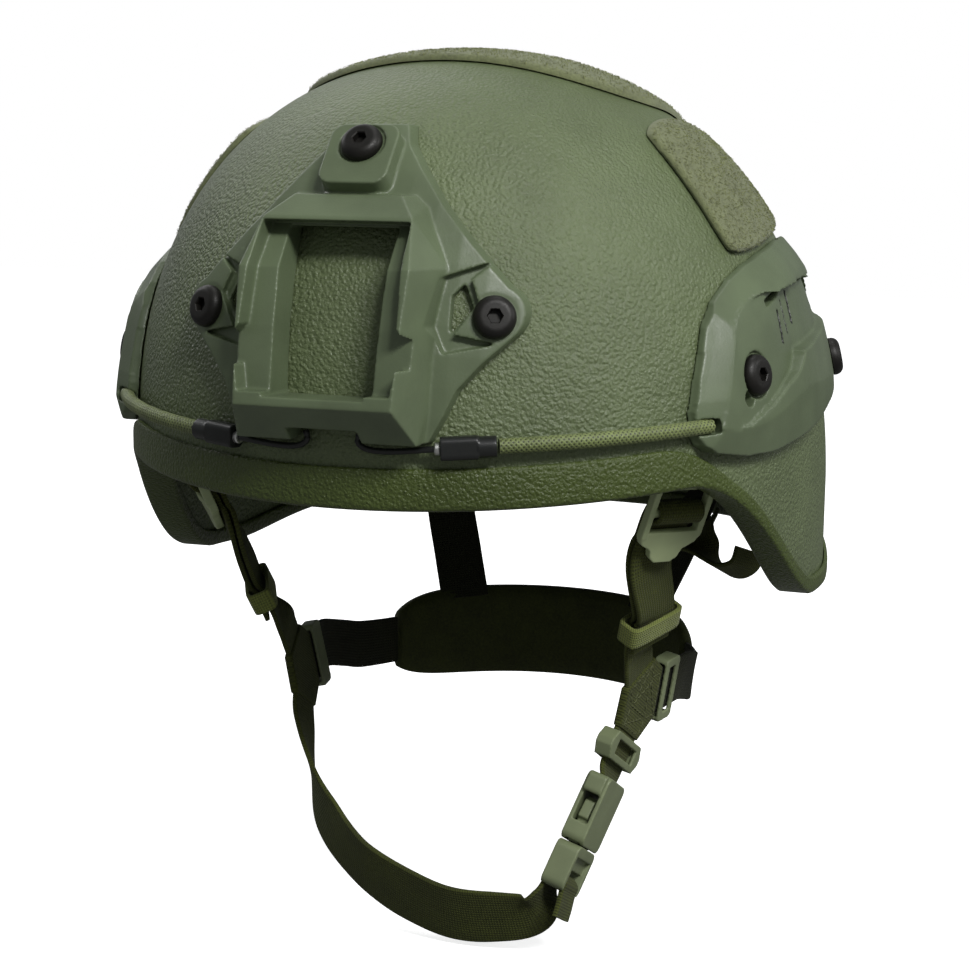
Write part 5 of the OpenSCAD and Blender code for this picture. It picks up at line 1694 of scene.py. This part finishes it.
def cord_point(a):
    """Middle of the left cord, a degrees round from the side to the front."""
    return on_shell(-a, mix(*CORD_HEIGHTS, (a - CORD_FROM) / (CONNECTOR_FROM - CORD_FROM)), CORD_LIFT)


def hook_frame():
    """Frame at the cord's end of the left connector, with z along it."""
    start = cord_point(CONNECTOR_FROM)
    axis = unit(cord_point(CONNECTOR_FROM + CONNECTOR_SPAN) - start)
    on, z = CONNECTOR_MIDDLE
    return frame_at(start, axis, out_of(-CONNECTOR_FROM - on, z))


class HELMET_OT_bungees(bpy.types.Operator):
    """Makes the braided elastic cords and the sleeves of their hooks, and rounds their connectors"""

    bl_idname = "helmet.bungees"
    bl_label = "Bungees"

    def execute(self, context):
        for side, word in SIDES:
            self.cord(side, word)
            softened(word + "_connector", "connector plastic", voxel=0.3, passes=3)
            self.ferrule(side, word)
        return {"FINISHED"}

    def ferrule(self, side, word):
        """Pale sleeve pressed round the wire where it leaves the connector."""
        place = hook_frame()
        rings = [on_side([place @ p for p in circle(r, CONNECTOR_LONG + z, 32)], side) for r, z in FERRULE]
        points, faces = loft(rings, True)
        body = frame["nodes"][word + "_connector"]["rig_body"]
        piece(word + "_ferrule", points, faces, "zinc steel", [], sharp=30, body=body)

    def cord(self, side, word):
        """Round cord whose surface is raised where the strands of its braid run."""
        path = run([cord_point(a) for a in (CORD_FROM, *CORD_STOPS, CONNECTOR_FROM - CORD_END)], 88)
        rings, uv, length = [], [], 0.0
        for i, p in enumerate(path):
            along = heading(path, i)
            a = along.cross(Vector((0.1, 0.2, 1))).normalized()
            b = along.cross(a)
            length += (p - path[i - 1]).length if i else 0.0
            ring = []
            for turn in around(48):
                one = math.cos(BRAID_STRANDS * turn + BRAID_TURN * length)
                two = math.cos(BRAID_STRANDS * turn - BRAID_TURN * length)
                r = CORD_WIDE / 2 - YARN_HIGH + YARN_HIGH * max(one, two)
                ring.append(p + (a * math.cos(turn) + b * math.sin(turn)) * r)
                uv.append((length, turn))
            rings.append(on_side(ring, side))
        points, faces = loft(rings)
        piece(word + "_cord_braid", points, faces, "cord cover", [word + "_cord"], uv, 60)


class HELMET_PT_panel(bpy.types.Panel):
    """Lists the helmet's pieces"""

    bl_idname = "HELMET_PT_panel"
    bl_label = "Helmet"
    bl_space_type = "VIEW_3D"
    bl_region_type = "UI"
    bl_category = "Helmet"

    def draw(self, context):
        for group in (context.scene.helmet_colours, context.scene.helmet_sizes):
            for key in group.__annotations__:
                self.layout.prop(group, key)
        for operator in OPERATORS:
            self.layout.operator(operator.bl_idname)


OPERATORS = (
    HELMET_OT_stage,
    HELMET_OT_finishes,
    HELMET_OT_shell,
    HELMET_OT_fittings,
    HELMET_OT_bolts,
    HELMET_OT_panels,
    HELMET_OT_harness,
    HELMET_OT_hardware,
    HELMET_OT_pads,
    HELMET_OT_bungees,
)
CLASSES = (HelmetColours, HelmetSizes) + OPERATORS + (HELMET_PT_panel,)


def register():
    for cls in CLASSES:
        bpy.utils.register_class(cls)
    bpy.types.Scene.helmet_colours = bpy.props.PointerProperty(type=HelmetColours)
    bpy.types.Scene.helmet_sizes = bpy.props.PointerProperty(type=HelmetSizes)


def unregister():
    del bpy.types.Scene.helmet_colours
    del bpy.types.Scene.helmet_sizes
    for cls in reversed(CLASSES):
        bpy.utils.unregister_class(cls)


def main():
    register()
    for operator in OPERATORS:
        getattr(bpy.ops.helmet, operator.bl_idname.split(".")[1])()


if __name__ == "__main__":
    main()
